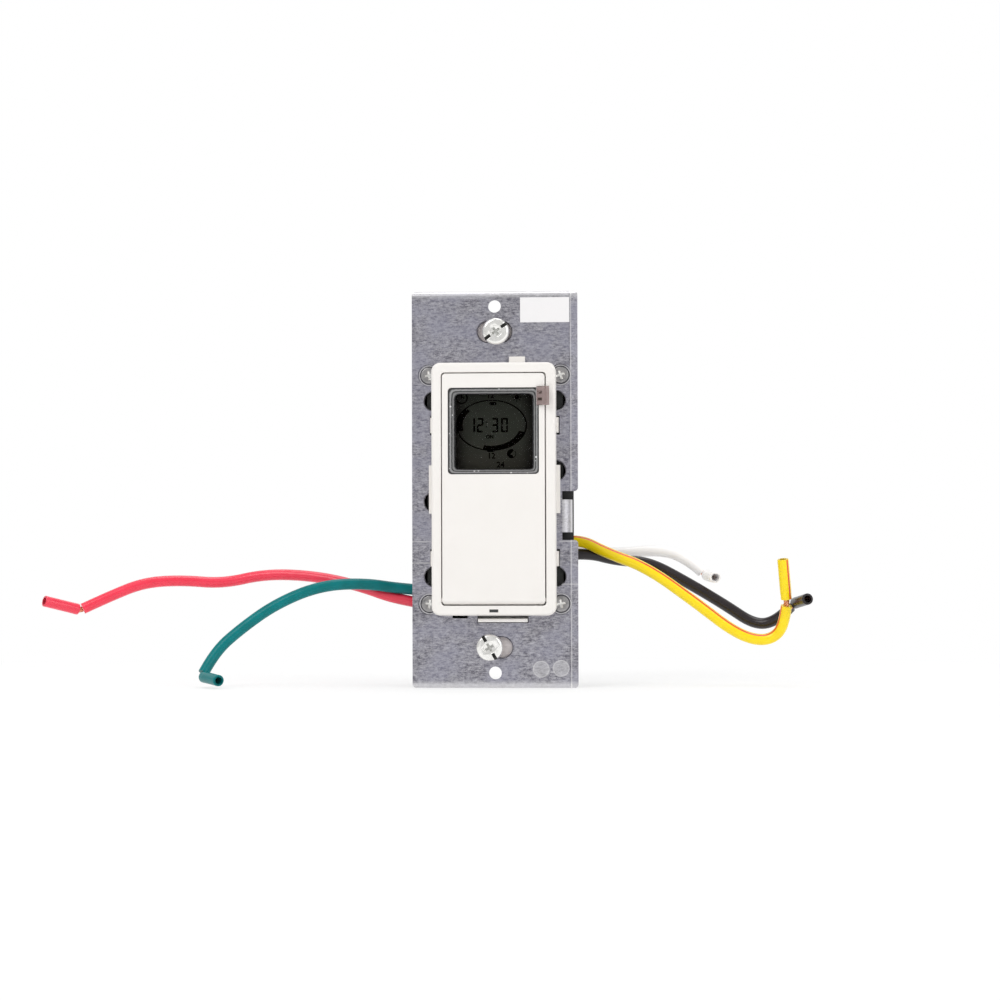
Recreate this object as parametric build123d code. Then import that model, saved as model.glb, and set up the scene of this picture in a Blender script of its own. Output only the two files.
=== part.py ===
from build123d import *
import math
import os

# A timer light switch for a wall box. The aluminium strap carries a white frame with a hinged push
# pad, whose window shows the display. A black housing behind the strap holds the circuit boards,
# and five insulated leads come out of its sides.
# Millimetres. +X is right seen from the front, the front faces -Y, +Z is up. The origin is midway
# between the two wall plate holes, in the strap's back face, which lies on the wall.

# Strap
strap_width = 43.8
strap_height = 104.8
strap_thickness = 1.6
strap_corner = 1.0
strap_end_roll = 1.3
strap_rail = 9.7
strap_opening_drop = 30.9
strap_opening_gap = 0.4
strap_opening_corner = 1.0
plate_hole_spacing = 96.84
plate_hole_radius = 1.7
box_screw_spacing = 83.34
box_slot_length = 9.0
box_slot_height = 5.4
side_hole_radius = 2.55
side_hole_edge = 5.8
hole_rim = 0.25
slot_rim = 0.3
right_side_hole_shares = (0.224, 0.047, -0.22)
left_side_hole_shares = (0.223, -0.031, -0.22)
side_bevel_width = 2.1
side_bevel_depth = 0.35
score_width = 0.35
score_depth = 0.25
left_score_shares = (-0.131, -0.185)
right_score_shares = (-0.131, -0.239)
score_length = 4.9
cap_screw_edge = 4.5
cap_screw_z = 30.2
cap_recess_radius = 2.95
cap_recess_depth = 0.95
corner_slot_width = 4.0
corner_slot_height = 2.6
corner_slot_x = -9.3
corner_slot_z = -32.7

# Tongue bent back in the notch of the right edge
notch_depth = 4.15
notch_top = -0.5
notch_height = 12.9
tongue_height = 8.65
tongue_drop = 0.1
tongue_bend_radius = 2.6
tongue_length = 3.6
pocket_gap = 0.3

# Frame, its floor behind the pad, and the legs that clip it to the strap
frame_margin = 5.6
frame_height = 66.3
frame_corner = 2.3
frame_rise = 6.4
frame_edge_round = 0.7
frame_inner_round = 0.2
pad_gap = 0.3
floor_thickness = 1.2
floor_depth = 3.4
wing_reach = 1.0
wing_height = 12.7
wing_thickness = 2.0
top_tab_width = 4.2
top_tab_height = 35.0
top_tab_x = 6.0
top_tab_thickness = 1.2
leg_edge = 5.75
leg_thickness = 1.5
leg_width = 4.0
leg_upper_z = 16.9
leg_lower_z = -18.3
leg_slot_gap = 0.25
leg_slot_reach = 1.0
leg_reach = 1.8
leg_hook = 0.65
leg_hook_gap = 0.3
lower_boss_edge = 2.6
lower_boss_z = -26.0
upper_boss_edge = 4.2
upper_boss_gap = 1.8
boss_radius = 1.4
boss_pilot_radius = 0.75
boss_pilot_floor = 0.3

# Push pad, hinged along its lower edge
frame_border = 2.85
pad_height = 60.5
pad_corner = 0.9
pad_proud = 0.2
pad_thickness = 1.2
pad_wall = 1.2
pad_depth = 2.3
hinge_inset = 1.3
pad_press_angle = 1.0
hinge_pin_radius = 0.6
hinge_pin_length = 0.8
hinge_hole_gap = 0.08
pad_rib_depth = 0.8
pad_rib_z = 1.6
window_border = 1.5
window_height = 22.7
window_corner = 1.0
window_rise = 15.2
window_ledge = 1.0
window_ledge_depth = 0.85
lens_gap = 0.06
lens_bevel = 1.4
lens_bevel_depth = 0.35
film_thickness = 0.08
film_tab_width = 5.0
film_tab_z = 24.3
film_tab_reach = 4.3
film_tab_lift = 1.7

# Program buttons, reset and the plunger that the pad presses
button_border = 2.85
button_middle_gap = 5.2
button_height = 4.6
button_corner = 1.5
button_rise = 0.8
button_gap = 0.2
button_flange = 0.7
button_flange_thickness = 0.7
button_edge_round = 0.3
button_row_shares = (-0.142, -0.284)
plunger_radius = 2.2
plunger_z = -1.5
reset_radius = 0.9
reset_z = -24.2
reset_sink = 0.1
post_radius = 1.0
post_entry = 0.3
switch_size = 4.6
switch_thickness = 1.8
switch_mouth_radius = 1.25
switch_mouth_depth = 1.0

# Display
display_rim = 0.75
display_lip = 0.6
display_lip_width = 0.9
display_wall = 0.7
display_body_drop = 1.0
display_gap = 0.1
glass_thickness = 1.8
glass_ledge = 2.2
glass_ledge_depth = 0.9
light_plate_inset = 0.2
strip_height = 1.8

# Control board
board_thickness = 1.6
board_stand_off = 0.6
board_margin = 7.1
board_gap = 0.2
board_screw_head_radius = 1.4
board_screw_head = 0.8
board_screw_radius = 0.7
board_screw_length = 3.4
board_hole_gap = 0.2
chip_size = 7.0
chip_thickness = 1.2
chip_x = -5.0
chip_z = 9.0
crystal_radius = 1.1
crystal_length = 6.0
crystal_x = 4.5
crystal_z = 12.0
cell_radius = 6.0
cell_thickness = 2.2
cell_x = 4.5
cell_z = -2.5
clip_width = 4.0
clip_thickness = 0.4
header_width = 16.0
header_height = 2.5
header_drop = 3.3
pin_size = 0.64
pin_count = 6
pin_pitch = 2.54
pin_tail = 0.7
pin_hole_radius = 0.5

# Status light in the frame's bottom rail
light_slot_width = 2.35
light_slot_height = 0.8
light_slot_z = -31.9
light_gap = 0.08
light_sink = 0.05
light_leg_thickness = 0.9
light_leg_top = -28.8
light_foot_height = 1.1
led_width = 1.6
led_height = 0.8
led_thickness = 0.7

# Insulating sheet behind the strap
sheet_thickness = 0.25
sheet_gap = 0.05
sheet_margin = 3.9
sheet_top_lap = 2.1
sheet_bottom_lap = 1.1
sheet_clearance = 0.3

# Air gap switch
gap_slot_width = 13.5
gap_slot_height = 2.5
gap_slot_x = 2.05
gap_slot_z = -33.95
gap_tab_thickness = 0.95
gap_tab_front = 3.0
gap_tab_clearance = 0.2
gap_travel = 3.0
gap_flange_overhang = 1.5
gap_flange_thickness = 1.0
gap_flange_rise = 1.95
bridge_width = 10.0
bridge_height = 0.5
bridge_inset = 0.1
leaf_width = 3.0
leaf_thickness = 0.4
leaf_spacing = 7.0
contact_gap = 0.05

# Rear housing
housing_inset = 1.1
housing_height = 74.2
housing_depth = 31.0
housing_taper_width = 2.2
housing_taper_height = 1.4
housing_wall = 1.8
housing_corner = 2.5
housing_back_round = 1.6
cap_boss_radius = 3.1
cap_boss_depth = 12.9
cap_pilot_radius = 1.2
cap_pilot_depth = 12.0
cap_head_radius = 2.2
cap_head_thickness = 0.85
cap_shank_radius = 1.12
cap_hole_radius = 1.5
cap_cross_width = 0.55
cap_cross_length = 2.6
cap_cross_depth = 0.5
rib_width = 1.5
rib_reach = 1.4
rib_shares = (0.35, -0.3)
lead_hole_gap = 0.15

# Power board and what stands on it
power_front = 11.5
power_margin = 4.7
power_inset = 4.1
relay_size = (15.5, 15.0, 19.5)
relay_edge = 10.7
relay_drop = 11.8
relay_base = 2.0
relay_step = 0.3
film_cap_size = (6.0, 12.0, 15.0)
film_cap_edge = 8.7
film_cap_drop = 8.8
varistor_radius = 5.0
varistor_thickness = 3.6
varistor_stem = 0.6
varistor_place = (8.5, 4.0)
can_radius = 4.0
can_length = 12.0
can_groove = 0.3
can_groove_height = 0.8
can_places = ((-9.0, -6.5), (1.0, -6.5))
choke_radius = 4.2
choke_winding_radius = 3.4
choke_length = 9.0
choke_flange = 1.2
choke_edge = 9.2
choke_z = -19.0
diode_radius = 1.1
diode_length = 4.4
diode_pitch = 3.4
diode_count = 4
diode_edge = 9.2
diode_z = -12.0
fuse_radius = 1.7
fuse_length = 9.0
fuse_place = (2.5, -28.0)
terminal_width = 1.7
terminal_height = 2.4
terminal_rise = 1.5

# Box mounting screws with the washers that keep them on the strap
box_head_radius = 3.45
box_head_height = 2.2
box_head_round = 1.3
box_neck_radius = 1.45
box_neck_end = 1.1
box_thread_radius = 1.75
box_shank_length = 24.0
box_tip_chamfer = 0.6
box_driver_width = 0.9
box_driver_depth = 0.9
box_cross_length = 3.4
box_cross_depth = 1.3
box_washer_width = 12.6
box_washer_height = 7.2
box_washer_thickness = 0.8
box_washer_corner = 1.0
box_washer_gap = 0.1
box_washer_fit = 0.03
top_screw_x = 0.4
top_screw_turn = 42
bottom_screw_x = -1.45
bottom_screw_turn = -60

# Rating label
label_width = 13.0
label_height = 6.6
label_thickness = 0.1
label_edge = 2.1
label_z = 47.4

# Leads
lead_diameter = 3.0
lead_start_edge = 5.5
white_start_inset = 3.0
conductor_radius = 0.8
stub_bore_radius = 0.95
stub_length = 9.6
strip_run = 1.3
conductor_entry = 3.0
lead_bend_share = 0.45

# Routes of the leads after their start inside the housing, and the heading of each cut end
lead_start_x = strap_width / 2 - lead_start_edge
lead_starts = {
    "red": (-lead_start_x, 15.6, -31.0),
    "green": (-lead_start_x, 15.6, -27.1),
    "yellow": (lead_start_x, 15.6, -14.0),
    "black": (lead_start_x, 15.6, -17.6),
    "white": (lead_start_x - white_start_inset, 21.5, -16.2),
}
lead_routes = {
    "red": [
        (-27.0, 15.6, -31.0), (-38.5, 17.0, -28.4), (-51.0, 19.0, -24.6), (-64.5, 20.0, -24.4),
        (-76.0, 19.0, -27.2), (-87.0, 17.0, -26.4), (-97.0, 14.5, -26.6), (-106.0, 12.0, -30.6),
        (-113.0, 10.0, -33.6),
    ],
    "green": [
        (-26.0, 15.6, -27.1), (-37.0, 12.8, -25.2), (-48.5, 9.8, -26.1), (-60.0, 8.2, -31.2),
        (-69.0, 7.0, -38.2), (-75.5, 5.5, -44.6), (-78.8, 1.5, -49.6),
    ],
    "yellow": [
        (24.0, 15.6, -14.0), (33.0, 12.6, -18.4), (44.5, 11.0, -23.8), (56.0, 11.0, -33.4),
        (65.0, 10.3, -39.4), (70.5, 10.0, -41.6), (75.0, 9.6, -40.4), (77.2, 8.6, -36.0),
        (77.9, 7.4, -31.0),
    ],
    "black": [
        (24.4, 15.6, -17.6), (32.6, 17.2, -20.4), (41.5, 18.0, -21.4), (52.0, 18.0, -26.8),
        (62.0, 17.0, -32.4), (69.6, 15.2, -36.6), (75.6, 13.4, -35.2), (79.6, 11.4, -31.6),
    ],
    "white": [
        (25.0, 21.5, -16.2), (33.5, 22.8, -17.3), (42.0, 23.6, -16.7), (49.0, 24.0, -18.0),
        (54.2, 24.0, -22.6),
    ],
}
stub_headings = {
    "red": (-0.86, -0.45, 0.2),
    "green": (0.6, -0.8, 0.06),
    "yellow": (-0.12, -0.22, 0.97),
    "black": (0.45, -0.85, 0.25),
    "white": (0.6, -0.75, -0.1),
}

# Places worked out from the sizes above
strap_front = -strap_thickness
strap_opening_width = strap_width - 2 * strap_rail
side_hole_x = strap_width / 2 - side_hole_edge
cap_screw_x = strap_width / 2 - cap_screw_edge
frame_width = strap_width - 2 * frame_margin
wing_width = frame_width + 2 * wing_reach
leg_x = strap_width / 2 - leg_edge
pad_width = frame_width - 2 * frame_border
window_width = pad_width - 2 * window_border
button_width = pad_width / 2 - button_border - button_middle_gap / 2
button_column_x = (button_middle_gap + button_width) / 2
board_width = strap_width - 2 * board_margin
sheet_width = strap_width - 2 * sheet_margin
housing_width = strap_width - 2 * housing_inset
power_width = strap_width - 2 * power_margin
label_x = strap_width / 2 - label_edge - label_width / 2
frame_front = strap_front - frame_rise
pad_front = frame_front - pad_proud
pad_back = pad_front + pad_thickness
pad_rib_back = pad_front + pad_depth
floor_front = frame_front + floor_depth
floor_back = floor_front + floor_thickness
pad_opening_width = pad_width + 2 * pad_gap
pad_opening_height = pad_height + 2 * pad_gap
hinge_y = pad_front + hinge_inset
hinge_z = hinge_inset - pad_height / 2
pad_press_share = math.sin(math.radians(pad_press_angle))
board_front = board_stand_off
board_back = board_front + board_thickness
power_back = power_front + board_thickness
switch_front = board_front - switch_thickness
button_front = floor_front - button_rise
lens_front = pad_front + lens_gap
film_front = lens_front - film_thickness
lead_radius = lead_diameter / 2
gap_flange_front = gap_travel + gap_tab_clearance
gap_flange_back = gap_flange_front + gap_flange_thickness
gap_tab_bottom = gap_slot_z - gap_slot_height / 2 + gap_tab_clearance
bridge_bottom = gap_tab_bottom + gap_flange_rise
bridge_back = gap_flange_back - bridge_inset
display_width = window_width + 2 * display_rim
display_height = window_height + 2 * display_rim
display_body_width = display_width - 2 * display_body_drop
display_body_height = display_height - display_body_drop
glass_front = floor_front + display_lip
glass_back = glass_front + glass_thickness
glass_width = display_body_width - 2 * display_wall
glass_height = display_body_height - 2 * display_wall
lower_boss_x = strap_opening_width / 2 - lower_boss_edge
upper_boss_x = strap_opening_width / 2 - upper_boss_edge
upper_boss_z = window_rise + display_height / 2 + upper_boss_gap
strap_opening_top = upper_boss_z + boss_radius + strap_opening_gap
header_z = upper_boss_z - header_drop
power_height = housing_height - 2 * power_inset
relay_place = (relay_edge - power_width / 2, header_z - relay_drop)
film_cap_place = (power_width / 2 - film_cap_edge, header_z - film_cap_drop)
choke_place = (choke_edge - power_width / 2, choke_z)
diode_place = (power_width / 2 - diode_edge, diode_z)
cap_screw_places = [(side * cap_screw_x, end * cap_screw_z) for side in (-1, 1) for end in (-1, 1)]
leg_places = [(side * leg_x, z) for side in (-1, 1) for z in (leg_upper_z, leg_lower_z)]
frame_boss_places = [
    (side * x, z)
    for side in (-1, 1)
    for x, z in ((lower_boss_x, lower_boss_z), (upper_boss_x, upper_boss_z))
]
button_rows = [share * pad_height for share in button_row_shares]
button_places = {
    "up_button": (-button_column_x, button_rows[0]),
    "down_button": (-button_column_x, button_rows[1]),
    "mode_button": (button_column_x, button_rows[0]),
    "set_button": (button_column_x, button_rows[1]),
    "reset_button": (0, reset_z),
    "override_plunger": (0, plunger_z),
}
pin_places = [((index - (pin_count - 1) / 2) * pin_pitch, header_z) for index in range(pin_count)]


def facing(y):
    """A sketch plane at depth y whose own axes are X and Z, seen from the front."""
    return Plane(origin=(0, y, 0), x_dir=(1, 0, 0), z_dir=(0, -1, 0))


def slab(outline, front, back):
    """An outline in X and Z made solid from the front depth to the back depth."""
    return extrude(facing(back) * outline, back - front)


def block(width, height, x, z, front, back):
    return slab(Pos(x, z) * Rectangle(width, height), front, back)


def rod(radius, x, z, front, back):
    return slab(Pos(x, z) * Circle(radius), front, back)


def cross_rod(radius, length, x, y, z):
    """A round bar along X, centred on the given point."""
    return Pos(x, y, z) * Rot(0, 90, 0) * Cylinder(radius, length)


def front_edges(solid):
    """The outer edges of a solid's front face."""
    return solid.faces().sort_by(Axis.Y)[0].outer_wire().edges()


def strap_opening():
    """The opening behind the frame, which reaches from the lower edge up past the upper bosses."""
    middle = (strap_opening_top - strap_opening_drop) / 2
    height = strap_opening_top + strap_opening_drop
    return Pos(0, middle) * RectangleRounded(strap_opening_width, height, strap_opening_corner)


def make_tongue():
    """The part of the strap that is bent back around a round corner."""
    root_x = strap_width / 2 - notch_depth
    bend = tongue_bend_radius
    centre = (root_x, strap_front + bend)
    inner = bend - strap_thickness
    outline = make_face([
        CenterArc(centre, bend, -90, 90),
        Line((root_x + bend, centre[1]), (root_x + bend, tongue_length)),
        Line((root_x + bend, tongue_length), (root_x + inner, tongue_length)),
        Line((root_x + inner, tongue_length), (root_x + inner, centre[1])),
        CenterArc(centre, inner, -90, 90),
        Line((root_x, 0), (root_x, strap_front)),
    ])
    middle = notch_top - notch_height / 2 - tongue_drop
    return Pos(0, 0, middle - tongue_height / 2) * extrude(outline, tongue_height)


def eased_rim(radius, x, z):
    """What the sloping rim of a round hole in the strap's front face takes away."""
    return Pos(x, strap_front + hole_rim / 2, z) * Rot(90, 0, 0) * Cone(radius, radius + hole_rim, hole_rim)


def make_strap():
    outline = RectangleRounded(strap_width, strap_height, strap_corner)
    notch_middle = notch_top - notch_height / 2
    outline -= Pos(strap_width / 2 - notch_depth / 2, notch_middle) * Rectangle(notch_depth, notch_height)
    corners = [
        outline.vertices().sort_by_distance((strap_width / 2, z, 0))[0]
        for z in (notch_top, notch_top - notch_height)
    ]
    outline = fillet(corners, strap_corner)
    outline -= strap_opening()
    outline -= Pos(gap_slot_x, gap_slot_z) * Rectangle(gap_slot_width, gap_slot_height)
    outline -= Pos(corner_slot_x, corner_slot_z) * Rectangle(corner_slot_width, corner_slot_height)
    for end in (-1, 1):
        outline -= Pos(0, end * plate_hole_spacing / 2) * Circle(plate_hole_radius)
        outline -= Pos(0, end * box_screw_spacing / 2) * SlotOverall(box_slot_length, box_slot_height)
    for side, shares in ((1, right_side_hole_shares), (-1, left_side_hole_shares)):
        for share in shares:
            outline -= Pos(side * side_hole_x, share * strap_height) * Circle(side_hole_radius)
    for x, z in leg_places:
        outline -= Pos(x, z) * Rectangle(leg_thickness + 2 * leg_slot_gap, leg_width + leg_slot_reach)
    for x, z in cap_screw_places:
        outline -= Pos(x, z) * Circle(cap_hole_radius)
    profile = Pos(strap_front / 2, 0) * Rectangle(strap_thickness, strap_height)
    profile = fillet(profile.vertices().sort_by(Axis.X)[:2], strap_end_roll)
    rolled = extrude(Plane.YZ * profile, strap_width / 2, both=True)
    strap = slab(outline, strap_front, 0) & rolled
    for x, z in cap_screw_places:
        strap -= rod(cap_recess_radius, x, z, strap_front, strap_front + cap_recess_depth)
    for side, shares in ((1, right_side_hole_shares), (-1, left_side_hole_shares)):
        for share in shares:
            strap -= eased_rim(side_hole_radius, side * side_hole_x, share * strap_height)
    slot_reach = box_slot_length / 2 + slot_rim
    for end in (-1, 1):
        middle = Vector(0, strap_front, end * box_screw_spacing / 2)
        rim = [edge for edge in strap.edges() if (edge.center() - middle).length < slot_reach]
        strap = chamfer([edge for edge in rim if abs(edge.center().Y - strap_front) < hole_rim], slot_rim)
    edge = strap_width / 2
    bevel = make_face(Polyline(
        (edge - side_bevel_width, strap_front),
        (edge, strap_front),
        (edge, strap_front + side_bevel_depth),
        close=True,
    ))
    strap -= Pos(0, 0, -strap_height / 2) * extrude(bevel, strap_height)
    score_back = strap_front + score_depth
    score_x = edge - side_bevel_width
    strap -= block(score_width, strap_height, score_x, 0, strap_front, score_back)
    for side, shares in ((1, right_score_shares), (-1, left_score_shares)):
        for share in shares:
            x = side * (edge - score_length / 2)
            strap -= block(score_length, score_width, x, share * strap_height, strap_front, score_back)
    return strap + make_tongue()


def make_frame():
    outline = RectangleRounded(frame_width, frame_height, frame_corner)
    opening = RectangleRounded(pad_opening_width, pad_opening_height, pad_corner)
    frame = slab(outline, frame_front, strap_front)
    frame = fillet(front_edges(frame), frame_edge_round)
    frame -= slab(opening, frame_front, floor_front)
    frame -= slab(opening, floor_back, strap_front)
    rim = frame.faces().sort_by(Axis.Y)[0].inner_wires()[0].edges()
    frame = fillet(rim, frame_inner_round)
    frame += block(wing_width, wing_height, 0, 0, strap_front - wing_thickness, strap_front) - slab(
        opening, strap_front - wing_thickness, strap_front
    )
    tab = Pos(top_tab_x, frame_height / 2) * Rectangle(top_tab_width, 2 * top_tab_height - frame_height)
    frame += slab(tab, strap_front - top_tab_thickness, strap_front) - slab(
        opening, strap_front - top_tab_thickness, strap_front
    )
    for x, z in frame_boss_places:
        frame += rod(boss_radius, x, z, floor_back, board_front)
        frame -= rod(boss_pilot_radius, x, z, floor_back + boss_pilot_floor, board_front)
    for x, z in leg_places:
        frame += block(leg_thickness, leg_width, x, z, strap_front - wing_thickness, leg_reach)
        side = 1 if x > 0 else -1
        hook_x = x + side * (leg_thickness + leg_hook) / 2
        frame += block(leg_hook, leg_width, hook_x, z, leg_hook_gap, leg_reach)
    display_hole = RectangleRounded(
        display_width + 2 * button_gap, display_height + 2 * button_gap, window_corner
    )
    frame -= slab(Pos(0, window_rise) * display_hole, floor_front, floor_back)
    for name, (x, z) in button_places.items():
        frame -= slab(Pos(x, z) * button_outline(name, button_gap), floor_front, floor_back)
    frame -= block(light_slot_width, light_slot_height, 0, light_slot_z, frame_front, strap_front)
    duct_top = -pad_opening_height / 2 + light_gap
    duct_bottom = light_slot_z - light_slot_height / 2
    duct_middle = (duct_top + duct_bottom) / 2
    frame -= block(light_slot_width, duct_top - duct_bottom, 0, duct_middle, floor_back, strap_front)
    pin_reach = pad_width + 2 * (hinge_pin_length + hinge_hole_gap)
    return frame - cross_rod(hinge_pin_radius + hinge_hole_gap, pin_reach, 0, hinge_y, hinge_z)


def make_push_pad():
    outline = RectangleRounded(pad_width, pad_height, pad_corner)
    pad = slab(outline, pad_front, pad_rib_back)
    hollow = RectangleRounded(pad_width - 2 * pad_wall, pad_height - 2 * pad_wall, pad_corner / 2)
    pad -= slab(hollow, pad_back, pad_rib_back)
    pad += block(pad_width - pad_wall, pad_wall, 0, pad_rib_z, pad_back, pad_back + pad_rib_depth)
    window = Pos(0, window_rise) * RectangleRounded(window_width, window_height, window_corner)
    inner = Pos(0, window_rise) * RectangleRounded(
        window_width - 2 * window_ledge, window_height - 2 * window_ledge, window_corner / 2
    )
    pad -= slab(window, pad_front, pad_front + window_ledge_depth)
    pad -= slab(inner, pad_front, pad_back)
    side_view = Pos(hinge_y, hinge_z) * Circle(hinge_inset)
    reach = pad_rib_back - pad_front
    side_view += Pos(pad_front + reach / 2, hinge_z + pad_height / 2) * Rectangle(reach, pad_height)
    side_view += Pos(hinge_y + (pad_rib_back - hinge_y) / 2, hinge_z) * Rectangle(
        pad_rib_back - hinge_y, 2 * hinge_inset
    )
    pad = pad & extrude(Plane.YZ * side_view, pad_width / 2, both=True)
    plunger_face = floor_front - button_rise
    arm = plunger_z - hinge_z
    boss_tip = plunger_face - arm * pad_press_share - contact_gap
    pad += rod(post_radius, 0, plunger_z, pad_back, boss_tip)
    pin_span = pad_width + 2 * hinge_pin_length
    pins = cross_rod(hinge_pin_radius, pin_span, 0, hinge_y, hinge_z)
    pins -= block(pad_width - 2 * pad_wall, pad_height, 0, hinge_z, pad_front, pad_rib_back)
    return pad + pins


def make_window():
    """A clear plate whose rim slopes back to the cut-out's edge."""
    width = window_width - 2 * lens_gap
    height = window_height - 2 * lens_gap
    shoulder = lens_front + lens_bevel_depth
    outline = Pos(0, window_rise) * RectangleRounded(width, height, window_corner)
    flat = RectangleRounded(width - 2 * lens_bevel, height - 2 * lens_bevel, window_corner)
    flat = Pos(0, window_rise) * flat
    lens = slab(outline, shoulder, pad_front + window_ledge_depth)
    return lens + loft([facing(lens_front) * flat, facing(shoulder) * outline])


def make_film():
    flat_width = window_width - 2 * lens_gap - 2 * lens_bevel
    flat_height = window_height - 2 * lens_gap - 2 * lens_bevel
    film = RectangleRounded(flat_width, flat_height, window_corner / 2)
    film = slab(Pos(0, window_rise) * film, film_front, lens_front)
    root = flat_width / 2 - film_thickness
    tab = make_face(Polyline(
        (root, film_front),
        (root, lens_front),
        (root + film_thickness, lens_front),
        (root + film_tab_reach, lens_front - film_tab_lift),
        (root + film_tab_reach, film_front - film_tab_lift),
        close=True,
    ))
    return film + Pos(0, 0, film_tab_z - film_tab_width / 2) * extrude(tab, film_tab_width)


def button_outline(name, grown):
    """The outline of a button's cap, grown all round."""
    if name == "reset_button":
        return Circle(reset_radius + grown)
    if name == "override_plunger":
        return Circle(plunger_radius + grown)
    return RectangleRounded(button_width + 2 * grown, button_height + 2 * grown, button_corner + grown)


def make_button(name):
    x, z = button_places[name]
    front = floor_front + reset_sink if name == "reset_button" else button_front
    flange_front = floor_back + button_gap
    flange_back = flange_front + button_flange_thickness
    cap = slab(button_outline(name, 0), front, flange_front)
    cap = fillet(front_edges(cap), button_edge_round)
    cap += slab(button_outline(name, button_flange), flange_front, flange_back)
    cap += rod(post_radius, 0, 0, flange_back, switch_front + post_entry)
    return Pos(x, 0, z) * cap


def make_tact_switches():
    switches = []
    for x, z in button_places.values():
        switch = block(switch_size, switch_size, x, z, switch_front, board_front)
        mouth = rod(switch_mouth_radius, x, z, switch_front, switch_front + switch_mouth_depth)
        switches.append(switch - mouth)
    return Compound(switches)


def make_display_holder():
    lip = Pos(0, window_rise) * RectangleRounded(display_width, display_height, window_corner)
    holder = slab(lip, floor_front, floor_back)
    holder += block(display_body_width, display_body_height, 0, window_rise, floor_back, board_front)
    holder -= block(glass_width, glass_height, 0, window_rise, glass_front, board_front)
    seen = Pos(0, window_rise) * RectangleRounded(
        glass_width - 2 * display_lip_width, glass_height - 2 * display_lip_width, window_corner / 2
    )
    return holder - slab(seen, floor_front, glass_front)


def make_display_glass():
    width = glass_width - 2 * display_gap
    height = glass_height - 2 * display_gap
    glass = block(width, height, 0, window_rise, glass_front, glass_back)
    ledge_z = window_rise - height / 2 + glass_ledge / 2
    return glass - block(width, glass_ledge, 0, ledge_z, glass_back - glass_ledge_depth, glass_back)


def make_light_plate():
    height = glass_height - 2 * display_gap - glass_ledge - light_plate_inset
    middle = window_rise + (glass_ledge + light_plate_inset) / 2
    return block(glass_width - 2 * display_gap, height, 0, middle, glass_back, board_front)


def make_contact_strip():
    z = window_rise - glass_height / 2 + display_gap + glass_ledge / 2
    return block(glass_width - glass_ledge, strip_height, 0, z, glass_back - glass_ledge_depth, board_front)


def board_outline(width, top, bottom):
    """A board's outline with the corners cut round the housing's screw bosses."""
    outline = Pos(0, (top + bottom) / 2) * Rectangle(width, top - bottom)
    for x, z in cap_screw_places:
        outline -= Pos(x, z) * Circle(cap_boss_radius + sheet_clearance)
    for x, z in pin_places:
        outline -= Pos(x, z) * Circle(pin_hole_radius)
    return outline


def make_control_board():
    outline = board_outline(board_width, strap_opening_top - board_gap, board_gap - strap_opening_drop)
    for x, z in frame_boss_places:
        outline -= Pos(x, z) * Circle(board_screw_radius + board_hole_gap)
    return slab(outline, board_front, board_back)


def make_board_screws():
    screws = []
    for x, z in frame_boss_places:
        head = rod(board_screw_head_radius, x, z, board_back, board_back + board_screw_head)
        screws.append(head + rod(board_screw_radius, x, z, board_back - board_screw_length, board_back))
    return Compound(screws)


def make_processor():
    chip = block(chip_size, chip_size, chip_x, chip_z, board_back, board_back + chip_thickness)
    return chamfer(chip.edges().filter_by(Axis.Y), chip_thickness / 2)


def make_crystal():
    can = Pos(crystal_x, board_back + crystal_radius, crystal_z) * Cylinder(crystal_radius, crystal_length)
    return fillet(can.edges(), crystal_radius / 3)


def make_backup_cell():
    cell = rod(cell_radius, cell_x, cell_z, board_back, board_back + cell_thickness)
    return fillet(cell.edges(), cell_thickness / 4)


def make_cell_clip():
    """A strap over the cell with a foot on the board at each end."""
    span = 2 * (cell_radius + clip_thickness + button_gap)
    top = board_back + cell_thickness + contact_gap
    clip = block(clip_width, span, cell_x, cell_z, board_back, top + clip_thickness)
    return clip - block(clip_width, span - 2 * clip_thickness, cell_x, cell_z, board_back, top)


def make_link_header():
    header = block(header_width, header_height, 0, header_z, board_back, board_back + header_height)
    for x, z in pin_places:
        header -= rod(pin_hole_radius, x, z, board_back, board_back + header_height)
    return header


def make_link_pins():
    front = board_front + (board_thickness - pin_tail) / 2
    return Compound([block(pin_size, pin_size, x, z, front, power_back + pin_tail) for x, z in pin_places])


def make_light_pipe():
    """A bent bar of clear plastic from the slot in the rail to the lamp on the board."""
    width = light_slot_width - 2 * light_gap
    height = light_slot_height - 2 * light_gap
    leg_front = floor_back + light_gap
    leg_back = leg_front + light_leg_thickness
    bottom = light_slot_z - height / 2
    pipe = block(width, height, 0, light_slot_z, frame_front + light_sink, leg_back)
    pipe += block(width, light_leg_top - bottom, 0, (light_leg_top + bottom) / 2, leg_front, leg_back)
    foot_z = light_leg_top - light_foot_height / 2
    foot_back = board_front - led_thickness - light_gap
    return pipe + block(width, light_foot_height, 0, foot_z, leg_front, foot_back)


def make_status_led():
    z = light_leg_top - light_foot_height / 2
    return block(led_width, led_height, 0, z, board_front - led_thickness, board_front)


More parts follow.
